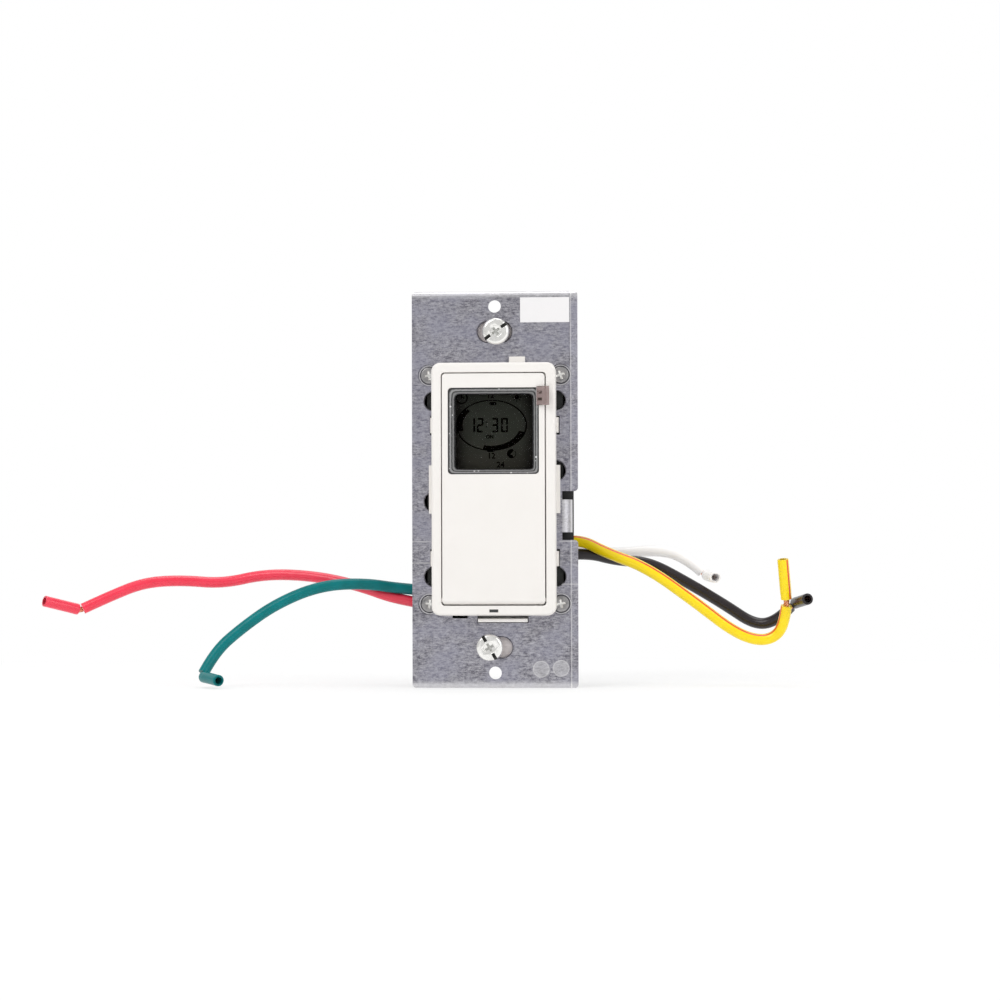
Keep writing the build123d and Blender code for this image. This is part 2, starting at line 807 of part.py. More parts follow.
def make_insulating_sheet():
    top = strap_opening_top + sheet_top_lap
    bottom = -strap_opening_drop - sheet_bottom_lap
    outline = Pos(0, (top + bottom) / 2) * Rectangle(sheet_width, top - bottom)
    outline -= strap_opening()
    for x, z in cap_screw_places:
        outline -= Pos(x, z) * Circle(cap_boss_radius + sheet_clearance)
    for x, z in leg_places:
        reach = leg_thickness + 2 * (leg_hook + sheet_clearance)
        outline -= Pos(x, z) * Rectangle(reach, leg_width + 2 * sheet_clearance)
    pocket = pocket_depth() + housing_wall + sheet_clearance
    reach = housing_width / 2 - pocket
    outline -= Pos(reach + sheet_width / 2, notch_top - notch_height / 2) * Rectangle(
        sheet_width, notch_height + 2 * (housing_wall + sheet_clearance)
    )
    return slab(outline, sheet_gap, sheet_gap + sheet_thickness)


def make_air_gap_tab():
    width = gap_slot_width - 2 * gap_tab_clearance
    middle = gap_tab_bottom + gap_tab_thickness / 2
    tab = block(width, gap_tab_thickness, gap_slot_x, middle, -gap_tab_front, gap_flange_front)
    tab = fillet(front_edges(tab), gap_tab_thickness / 3)
    flange_z = gap_tab_bottom + gap_flange_rise / 2
    flange_width = gap_slot_width + 2 * gap_flange_overhang
    return tab + block(flange_width, gap_flange_rise, gap_slot_x, flange_z, gap_flange_front, gap_flange_back)


def make_bridge_contact():
    z = bridge_bottom + bridge_height / 2
    return block(bridge_width, bridge_height, gap_slot_x, z, gap_flange_front + bridge_inset, bridge_back)


def make_air_gap_leaves():
    z = bridge_bottom + leaf_thickness / 2
    front = bridge_back + contact_gap
    return Compound([
        block(leaf_width, leaf_thickness, gap_slot_x + side * leaf_spacing / 2, z, front, power_front)
        for side in (-1, 1)
    ])


def pocket_depth():
    """How far the housing steps in beside the strap's bent tongue."""
    return (housing_width - strap_width) / 2 + notch_depth + pocket_gap


def tapered(width, height, depth, corner, inset):
    """A box that narrows to the back, as a moulded shell does, set in by an inset."""
    front = RectangleRounded(width - 2 * inset, height - 2 * inset, corner)
    back = RectangleRounded(
        width - housing_taper_width - 2 * inset, height - housing_taper_height - 2 * inset, corner
    )
    return loft([facing(0) * front, facing(depth) * back])


def make_housing():
    shell = tapered(housing_width, housing_height, housing_depth, housing_corner, 0)
    shell = fillet(shell.faces().sort_by(Axis.Y)[-1].edges(), housing_back_round)
    pocket_z = notch_top - notch_height / 2
    pocket = pocket_depth()
    pocket_x = housing_width / 2 - pocket / 2
    pocket_back = tongue_length + pocket_gap
    shell -= block(pocket, notch_height, pocket_x, pocket_z, 0, pocket_back)
    hollow = tapered(
        housing_width, housing_height, housing_depth, housing_corner - housing_wall, housing_wall
    )
    hollow &= slab(Rectangle(housing_width, housing_height), 0, housing_depth - housing_wall)
    wall = 2 * housing_wall
    hollow -= block(
        pocket + wall, notch_height + wall, pocket_x, pocket_z, 0, pocket_back + housing_wall
    )
    inside = housing_depth - housing_wall
    rib_x = power_width / 2
    supports = [
        block(rib_reach * 2, rib_width, side * rib_x, share * housing_height, power_back, inside)
        for side in (-1, 1)
        for share in rib_shares
    ]
    supports += [rod(cap_boss_radius, x, z, 0, cap_boss_depth) for x, z in cap_screw_places]
    outer = tapered(housing_width, housing_height, housing_depth, housing_corner, 0)
    housing = shell - hollow
    for support in supports:
        housing += support & outer
    for x, z in cap_screw_places:
        housing -= rod(cap_pilot_radius, x, z, 0, cap_pilot_depth)
    for start in lead_starts.values():
        side = 1 if start[0] > 0 else -1
        middle = side * (lead_start_x + housing_width / 2) / 2
        reach = housing_width / 2 - lead_start_x
        housing -= cross_rod(lead_radius + lead_hole_gap, reach, middle, start[1], start[2])
    return housing


def make_housing_screws():
    head_back = strap_front + cap_recess_depth
    head_front = head_back - cap_head_thickness
    screws = []
    for x, z in cap_screw_places:
        head = rod(cap_head_radius, 0, 0, head_front, head_back)
        head = fillet(front_edges(head), cap_head_thickness / 3)
        for width, height in ((cap_cross_width, cap_cross_length), (cap_cross_length, cap_cross_width)):
            head -= block(width, height, 0, 0, head_front, head_front + cap_cross_depth)
        screws.append(Pos(x, 0, z) * (head + rod(cap_shank_radius, 0, 0, head_back, cap_pilot_depth)))
    return Compound(screws)


def make_box_screw(x, z, turn):
    """A pan head screw with a driver slot across a cross recess."""
    head_front = strap_front - box_head_height
    head = rod(box_head_radius, 0, 0, head_front, strap_front)
    head = fillet(front_edges(head), box_head_round)
    head -= block(2 * box_head_radius, box_driver_width, 0, 0, head_front, head_front + box_driver_depth)
    for width, height in ((box_driver_width, box_cross_length), (box_cross_length, box_driver_width)):
        head -= block(width, height, 0, 0, head_front, head_front + box_cross_depth)
    neck = rod(box_neck_radius, 0, 0, strap_front, box_neck_end)
    thread = rod(box_thread_radius, 0, 0, box_neck_end, box_shank_length)
    thread = chamfer(thread.faces().sort_by(Axis.Y)[-1].edges(), box_tip_chamfer)
    return Pos(x, 0, z) * Rot(0, -turn, 0) * (head + neck + thread)


def make_box_washer(x, z):
    outline = RectangleRounded(box_washer_width, box_washer_height, box_washer_corner)
    outline -= Circle(box_neck_radius + box_washer_fit)
    return slab(Pos(x, z) * outline, box_washer_gap, box_washer_gap + box_washer_thickness)


def on_power_board(size, place):
    """A box standing on the back of the power board: size across, deep and high."""
    width, depth, height = size
    return block(width, height, place[0], place[1], power_back, power_back + depth)


def make_relay():
    case = on_power_board(relay_size, relay_place)
    case = fillet(case.faces().sort_by(Axis.Y)[-1].edges(), relay_step)
    width, _, height = relay_size
    base = (width + 2 * relay_step, relay_base, height + 2 * relay_step)
    return case + on_power_board(base, relay_place)


def make_film_capacitor():
    case = on_power_board(film_cap_size, film_cap_place)
    return fillet(case.faces().sort_by(Axis.Y)[-1].edges(), relay_step * 2)


def make_varistor():
    x, z = varistor_place
    y = power_back + varistor_radius + varistor_stem
    disc = Pos(x, y, z) * Cylinder(varistor_radius, varistor_thickness)
    disc = fillet(disc.edges(), varistor_thickness / 3)
    foot = block(varistor_radius, varistor_thickness / 2, x, z, power_back, y)
    return disc + foot


def make_electrolytics():
    cans = []
    for x, z in can_places:
        can = rod(can_radius, x, z, power_back, power_back + can_length)
        can = fillet(can.faces().sort_by(Axis.Y)[-1].edges(), can_groove)
        groove_front = power_back + can_groove_height
        groove = rod(can_radius, x, z, groove_front, groove_front + can_groove_height)
        groove -= rod(can_radius - can_groove, x, z, groove_front, groove_front + can_groove_height)
        cans.append(can - groove)
    return Compound(cans)


def make_choke():
    """A drum core: two flanges with the winding between them."""
    x, z = choke_place
    back = power_back + choke_length
    choke = rod(choke_winding_radius, x, z, power_back, back)
    choke += rod(choke_radius, x, z, power_back, power_back + choke_flange)
    return choke + rod(choke_radius, x, z, back - choke_flange, back)


def make_diodes():
    x, z = diode_place
    return Compound([
        cross_rod(diode_radius, diode_length, x, power_back + diode_radius, z - index * diode_pitch)
        for index in range(diode_count)
    ])


def make_fuse_resistor():
    x, z = fuse_place
    body = cross_rod(fuse_radius, fuse_length, x, power_back + fuse_radius, z)
    return fillet(body.edges(), fuse_radius / 3)


def make_terminals():
    terminals = []
    for x, y, z in lead_starts.values():
        side = 1 if x > 0 else -1
        inner = x - side * (contact_gap + terminal_width / 2)
        terminals.append(block(terminal_width, terminal_height, inner, z, power_back, y + terminal_rise))
    return Compound(terminals)


def bend_radii(points):
    """Each bend as large as its two runs allow."""
    radii = []
    for before, here, after in zip(points, points[1:], points[2:]):
        run_in = Vector(*here) - Vector(*before)
        run_out = Vector(*after) - Vector(*here)
        turn = math.radians(run_in.get_angle(run_out))
        radii.append(lead_bend_share * min(run_in.length, run_out.length) / math.tan(turn / 2))
    return radii


def tube_along(points, radius, bore=0):
    path = FilletPolyline(*points, radius=bend_radii(points))
    section = Circle(radius) - Circle(bore) if bore else Circle(radius)
    return sweep(Plane(origin=path @ 0, z_dir=path % 0) * section, path=path), path


def lead_end(colour):
    """The end of a lead's insulation, the bend of the bare strands and the start of the cut stub."""
    points = lead_routes[colour]
    last = Vector(*points[-1])
    heading = (last - Vector(*points[-2])).normalized()
    stub_heading = Vector(*stub_headings[colour]).normalized()
    bend = last + heading * strip_run
    return last, bend, bend + stub_heading * strip_run, stub_heading


def make_lead(colour):
    points = [lead_starts[colour]] + lead_routes[colour]
    tube, path = tube_along(points, lead_radius)
    expected = math.pi * lead_radius**2 * path.length
    radii = " ".join(f"{radius:.1f}" for radius in bend_radii(points))
    print(f"lead_{colour}: {path.length:.1f} mm, radii {radii}, volume share {tube.volume / expected:.4f}")
    return tube


def make_stub(colour):
    _, _, start, heading = lead_end(colour)
    section = Circle(lead_radius) - Circle(stub_bore_radius)
    return extrude(Plane(origin=start, z_dir=heading) * section, stub_length)


def make_conductors():
    strands = []
    for colour in lead_routes:
        last, bend, start, heading = lead_end(colour)
        points = [tuple(point) for point in (last, bend, start + heading * conductor_entry)]
        strands.append(tube_along(points, conductor_radius)[0])
    return Compound(strands)


def make_label():
    return block(label_width, label_height, label_x, label_z, strap_front - label_thickness, strap_front)


screw_half = box_screw_spacing / 2
nodes = {
    "mounting_strap": make_strap(),
    "rating_label": make_label(),
    "frame": make_frame(),
    "push_pad": make_push_pad(),
    "display_window": make_window(),
    "window_film": make_film(),
    "tact_switches": make_tact_switches(),
    "display_holder": make_display_holder(),
    "display_glass": make_display_glass(),
    "display_light_plate": make_light_plate(),
    "display_contact_strip": make_contact_strip(),
    "control_board": make_control_board(),
    "board_screws": make_board_screws(),
    "processor": make_processor(),
    "clock_crystal": make_crystal(),
    "backup_cell": make_backup_cell(),
    "cell_clip": make_cell_clip(),
    "link_header": make_link_header(),
    "link_pins": make_link_pins(),
    "light_pipe": make_light_pipe(),
    "status_led": make_status_led(),
    "insulating_sheet": make_insulating_sheet(),
    "air_gap_tab": make_air_gap_tab(),
    "bridge_contact": make_bridge_contact(),
    "air_gap_leaves": make_air_gap_leaves(),
    "rear_housing": make_housing(),
    "housing_screws": make_housing_screws(),
    "top_box_screw": make_box_screw(top_screw_x, screw_half, top_screw_turn),
    "bottom_box_screw": make_box_screw(bottom_screw_x, -screw_half, bottom_screw_turn),
    "top_screw_washer": make_box_washer(top_screw_x, screw_half),
    "bottom_screw_washer": make_box_washer(bottom_screw_x, -screw_half),
    "power_board": slab(
        board_outline(power_width, power_height / 2, -power_height / 2), power_front, power_back
    ),
    "relay": make_relay(),
    "film_capacitor": make_film_capacitor(),
    "varistor": make_varistor(),
    "electrolytic_capacitors": make_electrolytics(),
    "choke": make_choke(),
    "rectifier_diodes": make_diodes(),
    "fuse_resistor": make_fuse_resistor(),
    "lead_terminals": make_terminals(),
    "lead_conductors": make_conductors(),
}
for name in button_places:
    nodes[name] = make_button(name)
for colour in lead_routes:
    nodes[f"lead_{colour}"] = make_lead(colour)
    nodes[f"stub_{colour}"] = make_stub(colour)

os.makedirs("parts", exist_ok=True)
for name, shape in nodes.items():
    export_step(shape, f"parts/{name}.step")
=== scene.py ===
import bpy
import math
from mathutils import Matrix, Vector


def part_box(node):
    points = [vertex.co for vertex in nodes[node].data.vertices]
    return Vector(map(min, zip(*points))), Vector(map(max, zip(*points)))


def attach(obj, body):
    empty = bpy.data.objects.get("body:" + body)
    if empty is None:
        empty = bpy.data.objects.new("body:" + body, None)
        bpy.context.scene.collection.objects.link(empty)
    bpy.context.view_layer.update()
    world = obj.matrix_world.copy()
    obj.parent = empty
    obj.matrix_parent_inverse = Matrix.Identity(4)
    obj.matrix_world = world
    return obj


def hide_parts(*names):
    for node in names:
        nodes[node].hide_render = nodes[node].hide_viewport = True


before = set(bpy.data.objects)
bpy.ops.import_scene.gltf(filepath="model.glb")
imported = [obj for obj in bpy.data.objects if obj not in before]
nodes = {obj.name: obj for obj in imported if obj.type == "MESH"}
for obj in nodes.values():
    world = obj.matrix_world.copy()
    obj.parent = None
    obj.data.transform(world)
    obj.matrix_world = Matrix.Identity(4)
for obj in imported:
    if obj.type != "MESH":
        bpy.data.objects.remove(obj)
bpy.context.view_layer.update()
bpy.ops.object.select_all(action="DESELECT")

mm = 0.001


# modelling helpers: everything is deselected first, and faces and edges are picked in code

facing = Matrix.Rotation(math.radians(90), 4, "X")  # local X, Y, Z become right, up and towards the viewer


def alone(piece):
    bpy.ops.object.select_all(action="DESELECT")
    piece.select_set(True)
    bpy.context.view_layer.objects.active = piece


def startPick(piece, kind):
    alone(piece)
    bpy.ops.object.mode_set(mode="EDIT")
    bpy.ops.mesh.select_mode(type=kind)
    bpy.ops.mesh.select_all(action="DESELECT")
    bpy.ops.object.mode_set(mode="OBJECT")


def pickFaces(piece, test):
    startPick(piece, "FACE")
    for face in piece.data.polygons:
        face.select = bool(test(face.center, face.normal))
    bpy.ops.object.mode_set(mode="EDIT")


def pickEdges(piece, test):
    startPick(piece, "EDGE")
    points = piece.data.vertices
    for edge in piece.data.edges:
        edge.select = bool(test(*[points[index].co for index in edge.vertices]))
    bpy.ops.object.mode_set(mode="EDIT")


def leaveEdit():
    bpy.ops.object.mode_set(mode="OBJECT")


def modify(piece, kind, **settings):
    alone(piece)
    change = piece.modifiers.new(kind.lower(), kind)
    for name, value in settings.items():
        setattr(change, name, value)
    bpy.ops.object.modifier_apply(modifier=change.name)


def startCylinder(radius, low, high, sides=48):
    place = (0, 0, (low + high) / 2)
    bpy.ops.mesh.primitive_cylinder_add(vertices=sides, radius=radius, depth=high - low, location=place)
    piece = bpy.context.object
    bpy.ops.object.transform_apply(location=True, rotation=True, scale=True)
    return piece


def startBlock(width, height, low, high, x=0.0):
    bpy.ops.mesh.primitive_cube_add(size=1, location=(x, 0, (low + high) / 2))
    piece = bpy.context.object
    piece.scale = (width, height, high - low)
    bpy.ops.object.transform_apply(location=True, rotation=True, scale=True)
    return piece


# bakes a place into a piece's mesh
def putAt(piece, matrix):
    alone(piece)
    piece.matrix_world = matrix
    bpy.context.view_layer.update()
    bpy.ops.object.transform_apply(location=True, rotation=True, scale=True)


def copyOf(piece, matrix):
    twin = piece.copy()
    twin.data = piece.data.copy()
    bpy.context.scene.collection.objects.link(twin)
    putAt(twin, matrix)
    return twin


def joined(pieces):
    alone(pieces[0])
    for piece in pieces[1:]:
        piece.select_set(True)
    bpy.ops.object.join()
    return bpy.context.object


def cutBy(piece, cutter):
    modify(piece, "BOOLEAN", operation="DIFFERENCE", object=cutter, solver="EXACT")
    bpy.data.objects.remove(cutter)


def settle(piece, name, finish, body, stands=()):
    piece.name = name
    piece.data.name = name
    if not piece.data.materials:
        piece.data.materials.append(finish)
    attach(piece, body)
    if stands:
        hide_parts(*stands)
    return piece


# camera, floor and lights

camera = {
    "azimuth": math.radians(3.2),
    "elevation": math.radians(-1.0),
    "roll": math.radians(-0.16),
    "distance": 700 * mm,
    "width": 263.9 * mm,  # what the picture spans at the target
    "target": (1.35 * mm, -1.6 * mm, -2.8 * mm),
    "sensor": 36,
}


def placeCamera():
    turn, rise = camera["azimuth"], camera["elevation"]
    away = Vector((math.sin(turn) * math.cos(rise), -math.cos(turn) * math.cos(rise), math.sin(rise)))
    bpy.ops.object.camera_add(location=Vector(camera["target"]) + away * camera["distance"])
    eye = bpy.context.object
    eye.rotation_mode = "QUATERNION"
    look = (-away).to_track_quat("-Z", "Y")
    eye.rotation_quaternion = look @ Matrix.Rotation(camera["roll"], 3, "Z").to_quaternion()
    eye.data.sensor_width = camera["sensor"]
    eye.data.lens = camera["sensor"] * camera["distance"] / camera["width"]
    bpy.context.scene.camera = eye


stage = {
    "floor": 1.6,  # metres across
    "height": -52.4 * mm,  # the strap stands on it
    "back": 0.5,  # where the floor turns up into the wall
    "round": 0.25,
    "white": (0.93, 0.93, 0.93, 1),
    "shadow": 0.35,  # how much of the shadow shows
    "fade": 0.36,  # how far out the floor turns into plain background
}

lamps = {
    "key": {"place": (-0.55, -0.75, 0.75), "size": 0.7, "power": 4.4},
    "fill": {"place": (0.7, -0.6, 0.35), "size": 0.8, "power": 2.4},
    "top": {"place": (0.05, 0.1, 0.95), "size": 0.7, "power": 2.8},
    "back": {"place": (0.1, 0.9, 0.5), "size": 0.6, "power": 2.8},
}
worldLight = 0.56


# materials: a socket with operators, and one way to add any other node

# where some nodes keep the outputs that are used
ray = {"camera": 0, "glossy": 3, "transmission": 6}
coordinates = {"uv": 2, "object": 3}


class Wire:
    def __init__(self, tree, socket=None):
        self.tree = tree
        self.socket = socket

    def node(self, kind, settings=None, values=None, out=0):
        made = self.tree.nodes.new(kind)
        for name, value in (settings or {}).items():
            if name == "stops":
                while len(made.color_ramp.elements) < len(value):
                    made.color_ramp.elements.new(1)
                for stop, (place, colour) in zip(made.color_ramp.elements, value):
                    stop.position = place
                    stop.color = colour if isinstance(colour, tuple) else (colour, colour, colour, 1)
            else:
                setattr(made, name, value)
        for name, value in (values or {}).items():
            if isinstance(value, Wire):
                self.tree.links.new(value.socket, made.inputs[name])
            else:
                made.inputs[name].default_value = value
        return Wire(self.tree, made.outputs[out] if made.outputs else None)

    def maths(self, operation, first, second=0.0, third=0.0):
        return self.node("ShaderNodeMath", {"operation": operation}, {0: first, 1: second, 2: third})

    def __add__(self, other):
        return self.maths("ADD", self, other)

    def __radd__(self, other):
        return self.maths("ADD", other, self)

    def __sub__(self, other):
        return self.maths("SUBTRACT", self, other)

    def __rsub__(self, other):
        return self.maths("SUBTRACT", other, self)

    def __mul__(self, other):
        return self.maths("MULTIPLY", self, other)

    def __rmul__(self, other):
        return self.maths("MULTIPLY", other, self)

    def __truediv__(self, other):
        return self.maths("DIVIDE", self, other)

    def __pow__(self, other):
        return self.maths("POWER", self, other)

    # 1 where this is under the limit and 0 above it, with a smooth step between
    def under(self, limit, soft):
        values = {"Value": self, "From Min": limit - soft, "From Max": limit + soft}
        values.update({"To Min": 1.0, "To Max": 0.0})
        return self.node("ShaderNodeMapRange", {"interpolation_type": "SMOOTHSTEP"}, values)

    def over(self, limit, soft):
        return 1 - self.under(limit, soft)

    def between(self, low, high, soft):
        return self.over(low, soft) * self.under(high, soft)

    # from one colour to another: a Mix node takes colours at 6 and 7, and gives one at 2
    def blend(self, low, high):
        values = {0: self, 6: low, 7: high}
        return self.node("ShaderNodeMix", {"data_type": "RGBA"}, values, out=2)

    def spread(self, low, high):
        return self * (high - low) + low

    # object coordinates, stretched along each axis
    def place(self, stretch=(1, 1, 1)):
        here = self.node("ShaderNodeTexCoord", out=coordinates["object"])
        return self.node("ShaderNodeMapping", {"vector_type": "POINT"}, {"Vector": here, "Scale": stretch})

    def axes(self):
        here = self.node("ShaderNodeTexCoord", out=coordinates["object"])
        return [self.node("ShaderNodeSeparateXYZ", None, {0: here}, out=index) for index in range(3)]

    def grain(self, size, detail=3.0, stretch=(1, 1, 1), rough=0.55):
        values = {"Vector": self.place(stretch), "Scale": 1 / size, "Detail": detail, "Roughness": rough}
        return self.node("ShaderNodeTexNoise", None, values)

    def cells(self, size, feature="F1", stretch=(1, 1, 1)):
        values = {"Vector": self.place(stretch), "Scale": 1 / size}
        return self.node("ShaderNodeTexVoronoi", {"feature": feature}, values)

    def bump(self, height, depth):
        return self.node("ShaderNodeBump", None, {"Height": height, "Distance": depth, "Strength": 1.0})


# a new material: constants on its own sockets, then what varies is wired in with feed
def newFinish(name, constants):
    finish = bpy.data.materials.new(name)
    finish.use_nodes = True
    shader = finish.node_tree.nodes["Principled BSDF"]
    for socket, value in constants.items():
        shader.inputs[socket].default_value = value
    return finish, Wire(finish.node_tree)


def feed(finish, **wires):
    shader = finish.node_tree.nodes["Principled BSDF"]
    sockets = {"colour": "Base Color", "roughness": "Roughness", "alpha": "Alpha", "normal": "Normal"}
    for name, wire in wires.items():
        finish.node_tree.links.new(wire.socket, shader.inputs[sockets[name]])


def makeStage():
    width, back, bend = stage["floor"], stage["back"], stage["round"]
    bpy.ops.mesh.primitive_plane_add(size=width, location=(0, back - width / 2, stage["height"]))
    floor = bpy.context.object
    floor.name = "studioFloor"
    pickEdges(floor, lambda a, b: min(a.y, b.y) > 0)
    bpy.ops.mesh.extrude_region_move(TRANSFORM_OT_translate={"value": (0, 0, width / 2)})
    leaveEdit()
    pickEdges(floor, lambda a, b: min(a.y, b.y) > 0 and max(a.z, b.z) < width / 4)
    bpy.ops.mesh.bevel(offset=bend, segments=12)
    leaveEdit()
    bpy.ops.object.shade_smooth()
    finish = bpy.data.materials.new("studioWhite")
    finish.use_nodes = True
    tree = finish.node_tree
    tree.nodes.clear()
    wire = Wire(tree)
    soft = wire.node("ShaderNodeBsdfDiffuse", None, {"Color": stage["white"]})
    white = wire.node("ShaderNodeEmission", None, {"Color": (1, 1, 1, 1), "Strength": 1.0})
    seen = wire.node("ShaderNodeLightPath", out=ray["camera"])
    mirrored = wire.node("ShaderNodeLightPath", out=ray["glossy"])
    through = wire.node("ShaderNodeLightPath", out=ray["transmission"])
    x, y, _ = wire.axes()
    far = wire.maths("SQRT", x ** 2.0 + y ** 2.0).over(stage["fade"], stage["fade"] / 3)
    plain = wire.maths("MAXIMUM", seen * (1 - stage["shadow"]), seen * far)
    plain = wire.maths("MAXIMUM", wire.maths("MAXIMUM", plain, mirrored), through)
    both = wire.node("ShaderNodeMixShader", None, {0: plain, 1: soft, 2: white})
    wire.node("ShaderNodeOutputMaterial", None, {"Surface": both})
    floor.data.materials.append(finish)


# the lamps face the origin
def makeLights():
    for name, lamp in lamps.items():
        bpy.ops.object.light_add(type="AREA", location=lamp["place"])
        light = bpy.context.object
        light.name = name
        light.data.shape = "DISK"
        light.data.size = lamp["size"]
        light.data.energy = lamp["power"]
        light.rotation_mode = "QUATERNION"
        light.rotation_quaternion = (-Vector(lamp["place"])).to_track_quat("-Z", "Y")
    world = bpy.data.worlds.new("studio")
    bpy.context.scene.world = world
    world.use_nodes = True
    tree = world.node_tree
    tree.nodes.clear()
    wire = Wire(tree)
    seen = wire.node("ShaderNodeLightPath", out=ray["camera"])
    through = wire.node("ShaderNodeLightPath", out=ray["transmission"])
    plain = wire.maths("MAXIMUM", seen, through)
    level = plain.spread(worldLight, 1.0)
    sky = wire.node("ShaderNodeBackground", None, {"Color": (1, 1, 1, 1), "Strength": level})
    wire.node("ShaderNodeOutputWorld", None, {"Surface": sky})


placeCamera()
makeStage()
makeLights()
bpy.context.scene.view_settings.view_transform = "Standard"
print("stage ready")


# finishes, one for each material slot of the part

def strapMetal():
    look = {
        "dark": (0.13, 0.125, 0.155, 1), "light": (0.64, 0.63, 0.67, 1), "blotch": (0.25, 0.25, 0.34, 1),
        # the pale colour on the next line serves nicks, struck marks and painted highlights; the near-black
        # sunk colour is painted shade in the screw recesses
        "bright": (0.86, 0.85, 0.85, 1), "sunk": (0.04, 0.04, 0.045, 1),
        "brush": 0.22 * mm, "speck": 0.34 * mm, "smudge": 0.75 * mm, "nick": 3.1 * mm, "cloud": 7 * mm,
        "marks": ((12.1, -47.4), (17.35, -47.2)), "markRadius": 2.15 * mm,
        "tongue": (17.75 * mm, -11.4 * mm, -2.6 * mm),  # left edge, bottom, top
        "corners": (17.4 * mm, 30.2 * mm), "recess": 2.5 * mm, "ends": 50.9 * mm,
        "scores": ((-1, -13.73), (-1, -19.39), (1, -13.73), (1, -25.05)),  # side and height
        "scoreHalf": 0.17, "scoreReach": 17 * mm, "scoreSoft": 0.08 * mm,
        "edgeLine": 20.1 * mm, "edgeHalf": 0.16 * mm,
    }
    finish, wire = newFinish("brushedAluminium", {"Metallic": 1.0})
    brush = wire.grain(look["brush"], 2, (0.16, 1, 1))
    streak = wire.grain(look["smudge"], 5, (0.5, 1, 1), 0.7)
    cloud = wire.grain(look["cloud"], 5, (0.7, 1, 1))
    speck = wire.grain(look["speck"], 3, (0.85, 1, 1), 0.8)
    nick = wire.cells(look["nick"], "F1", (0.25, 1, 3)).under(0.05, 0.02) * cloud.over(0.5, 0.1)
    level = brush * 0.2 + streak * 0.35 + speck * 0.25 + cloud * 0.2
    hue = level.over(0.5, 0.13).blend(look["dark"], look["light"])
    tinted = (cloud.over(0.52, 0.16) * 0.5).blend(hue, look["blotch"])
    x, y, z = wire.axes()
    struck = None
    for markX, markZ in look["marks"]:
        away = wire.maths("SQRT", (x - markX * mm) ** 2.0 + (z - markZ * mm) ** 2.0)
        disc = away.under(look["markRadius"], 0.1 * mm) * 0.3
        disc = disc + away.between(look["markRadius"] * 0.9, look["markRadius"] * 1.06, 0.07 * mm) * 0.25
        struck = disc if struck is None else struck + disc
    cornerX, cornerZ = look["corners"]
    fromX = wire.maths("ABSOLUTE", wire.maths("ABSOLUTE", x) - cornerX)
    fromZ = wire.maths("ABSOLUTE", wire.maths("ABSOLUTE", z) - cornerZ)
    away = wire.maths("SQRT", fromX ** 2.0 + fromZ ** 2.0)
    # painted shade: the floor of each housing screw's recess is darkened, where shade falls round the sunk
    # head
    sunk = away.under(look["recess"] * 0.97, 0.06 * mm) * 0.75
    # painted highlight: a bright ring painted round the lip of each recess
    paintedLipHighlight = away.between(look["recess"] * 0.99, look["recess"] * 1.08, 0.05 * mm)
    edge, edgeHalf, half, soft = look["edgeLine"], look["edgeHalf"], look["scoreHalf"], look["scoreSoft"]
    # painted highlights along the bend line and the score lines
    paintedScoreHighlight = x.between(edge - edgeHalf, edge + edgeHalf, soft)
    for side, line in look["scores"]:
        reach = (x * side).over(look["scoreReach"], 0.1 * mm)
        paintedScoreHighlight = paintedScoreHighlight + reach * z.between((line - half) * mm, (line + half) * mm, soft)
    # painted highlights along the rolled top and bottom ends, and on the tongue
    rolled = wire.maths("ABSOLUTE", z).over(look["ends"], 0.8 * mm)
    tongueLeft, tongueLow, tongueHigh = look["tongue"]
    tongue = x.over(tongueLeft, 0.2 * mm) * z.between(tongueLow, tongueHigh, 0.3 * mm)
    # the painted highlights of the lip, lines, rolled ends and tongue, summed
    edges = paintedLipHighlight * 0.7 + tongue * 0.4 + rolled * 0.5 + paintedScoreHighlight * 0.45
    # nicks and struck marks, with the painted highlights, all blended to the pale colour
    bright = wire.maths("MAXIMUM", wire.maths("MAXIMUM", nick * 0.5, struck), edges)
    rough = level.spread(0.5, 0.34) - bright * 0.06
    height = brush * 0.3 + streak * 0.4 + speck * 0.4 + nick * 0.3 + struck * 0.8
    # the strap's tone with the painted recess shade laid in
    shaded = sunk.blend(tinted, look["sunk"])
    feed(finish, colour=bright.blend(shaded, look["bright"]), roughness=rough,
         normal=wire.bump(height, 0.03 * mm))
    return finish


def labelPaper():
    look = {
        "paper": (0.86, 0.85, 0.85, 1), "shade": (0.77, 0.755, 0.76, 1), "fibre": 0.25 * mm, "wave": 6 * mm,
    }
    finish, wire = newFinish("labelPaper", {"Coat Weight": 0.15, "Coat Roughness": 0.3})
    fibre = wire.grain(look["fibre"], 3, (1, 1, 2.5))
    wave = wire.grain(look["wave"], 2)
    feed(finish, colour=fibre.spread(0.25, 1.0).blend(look["shade"], look["paper"]),
         roughness=fibre.spread(0.42, 0.6), normal=wire.bump(fibre * 0.3 + wave, 0.03 * mm))
    return finish


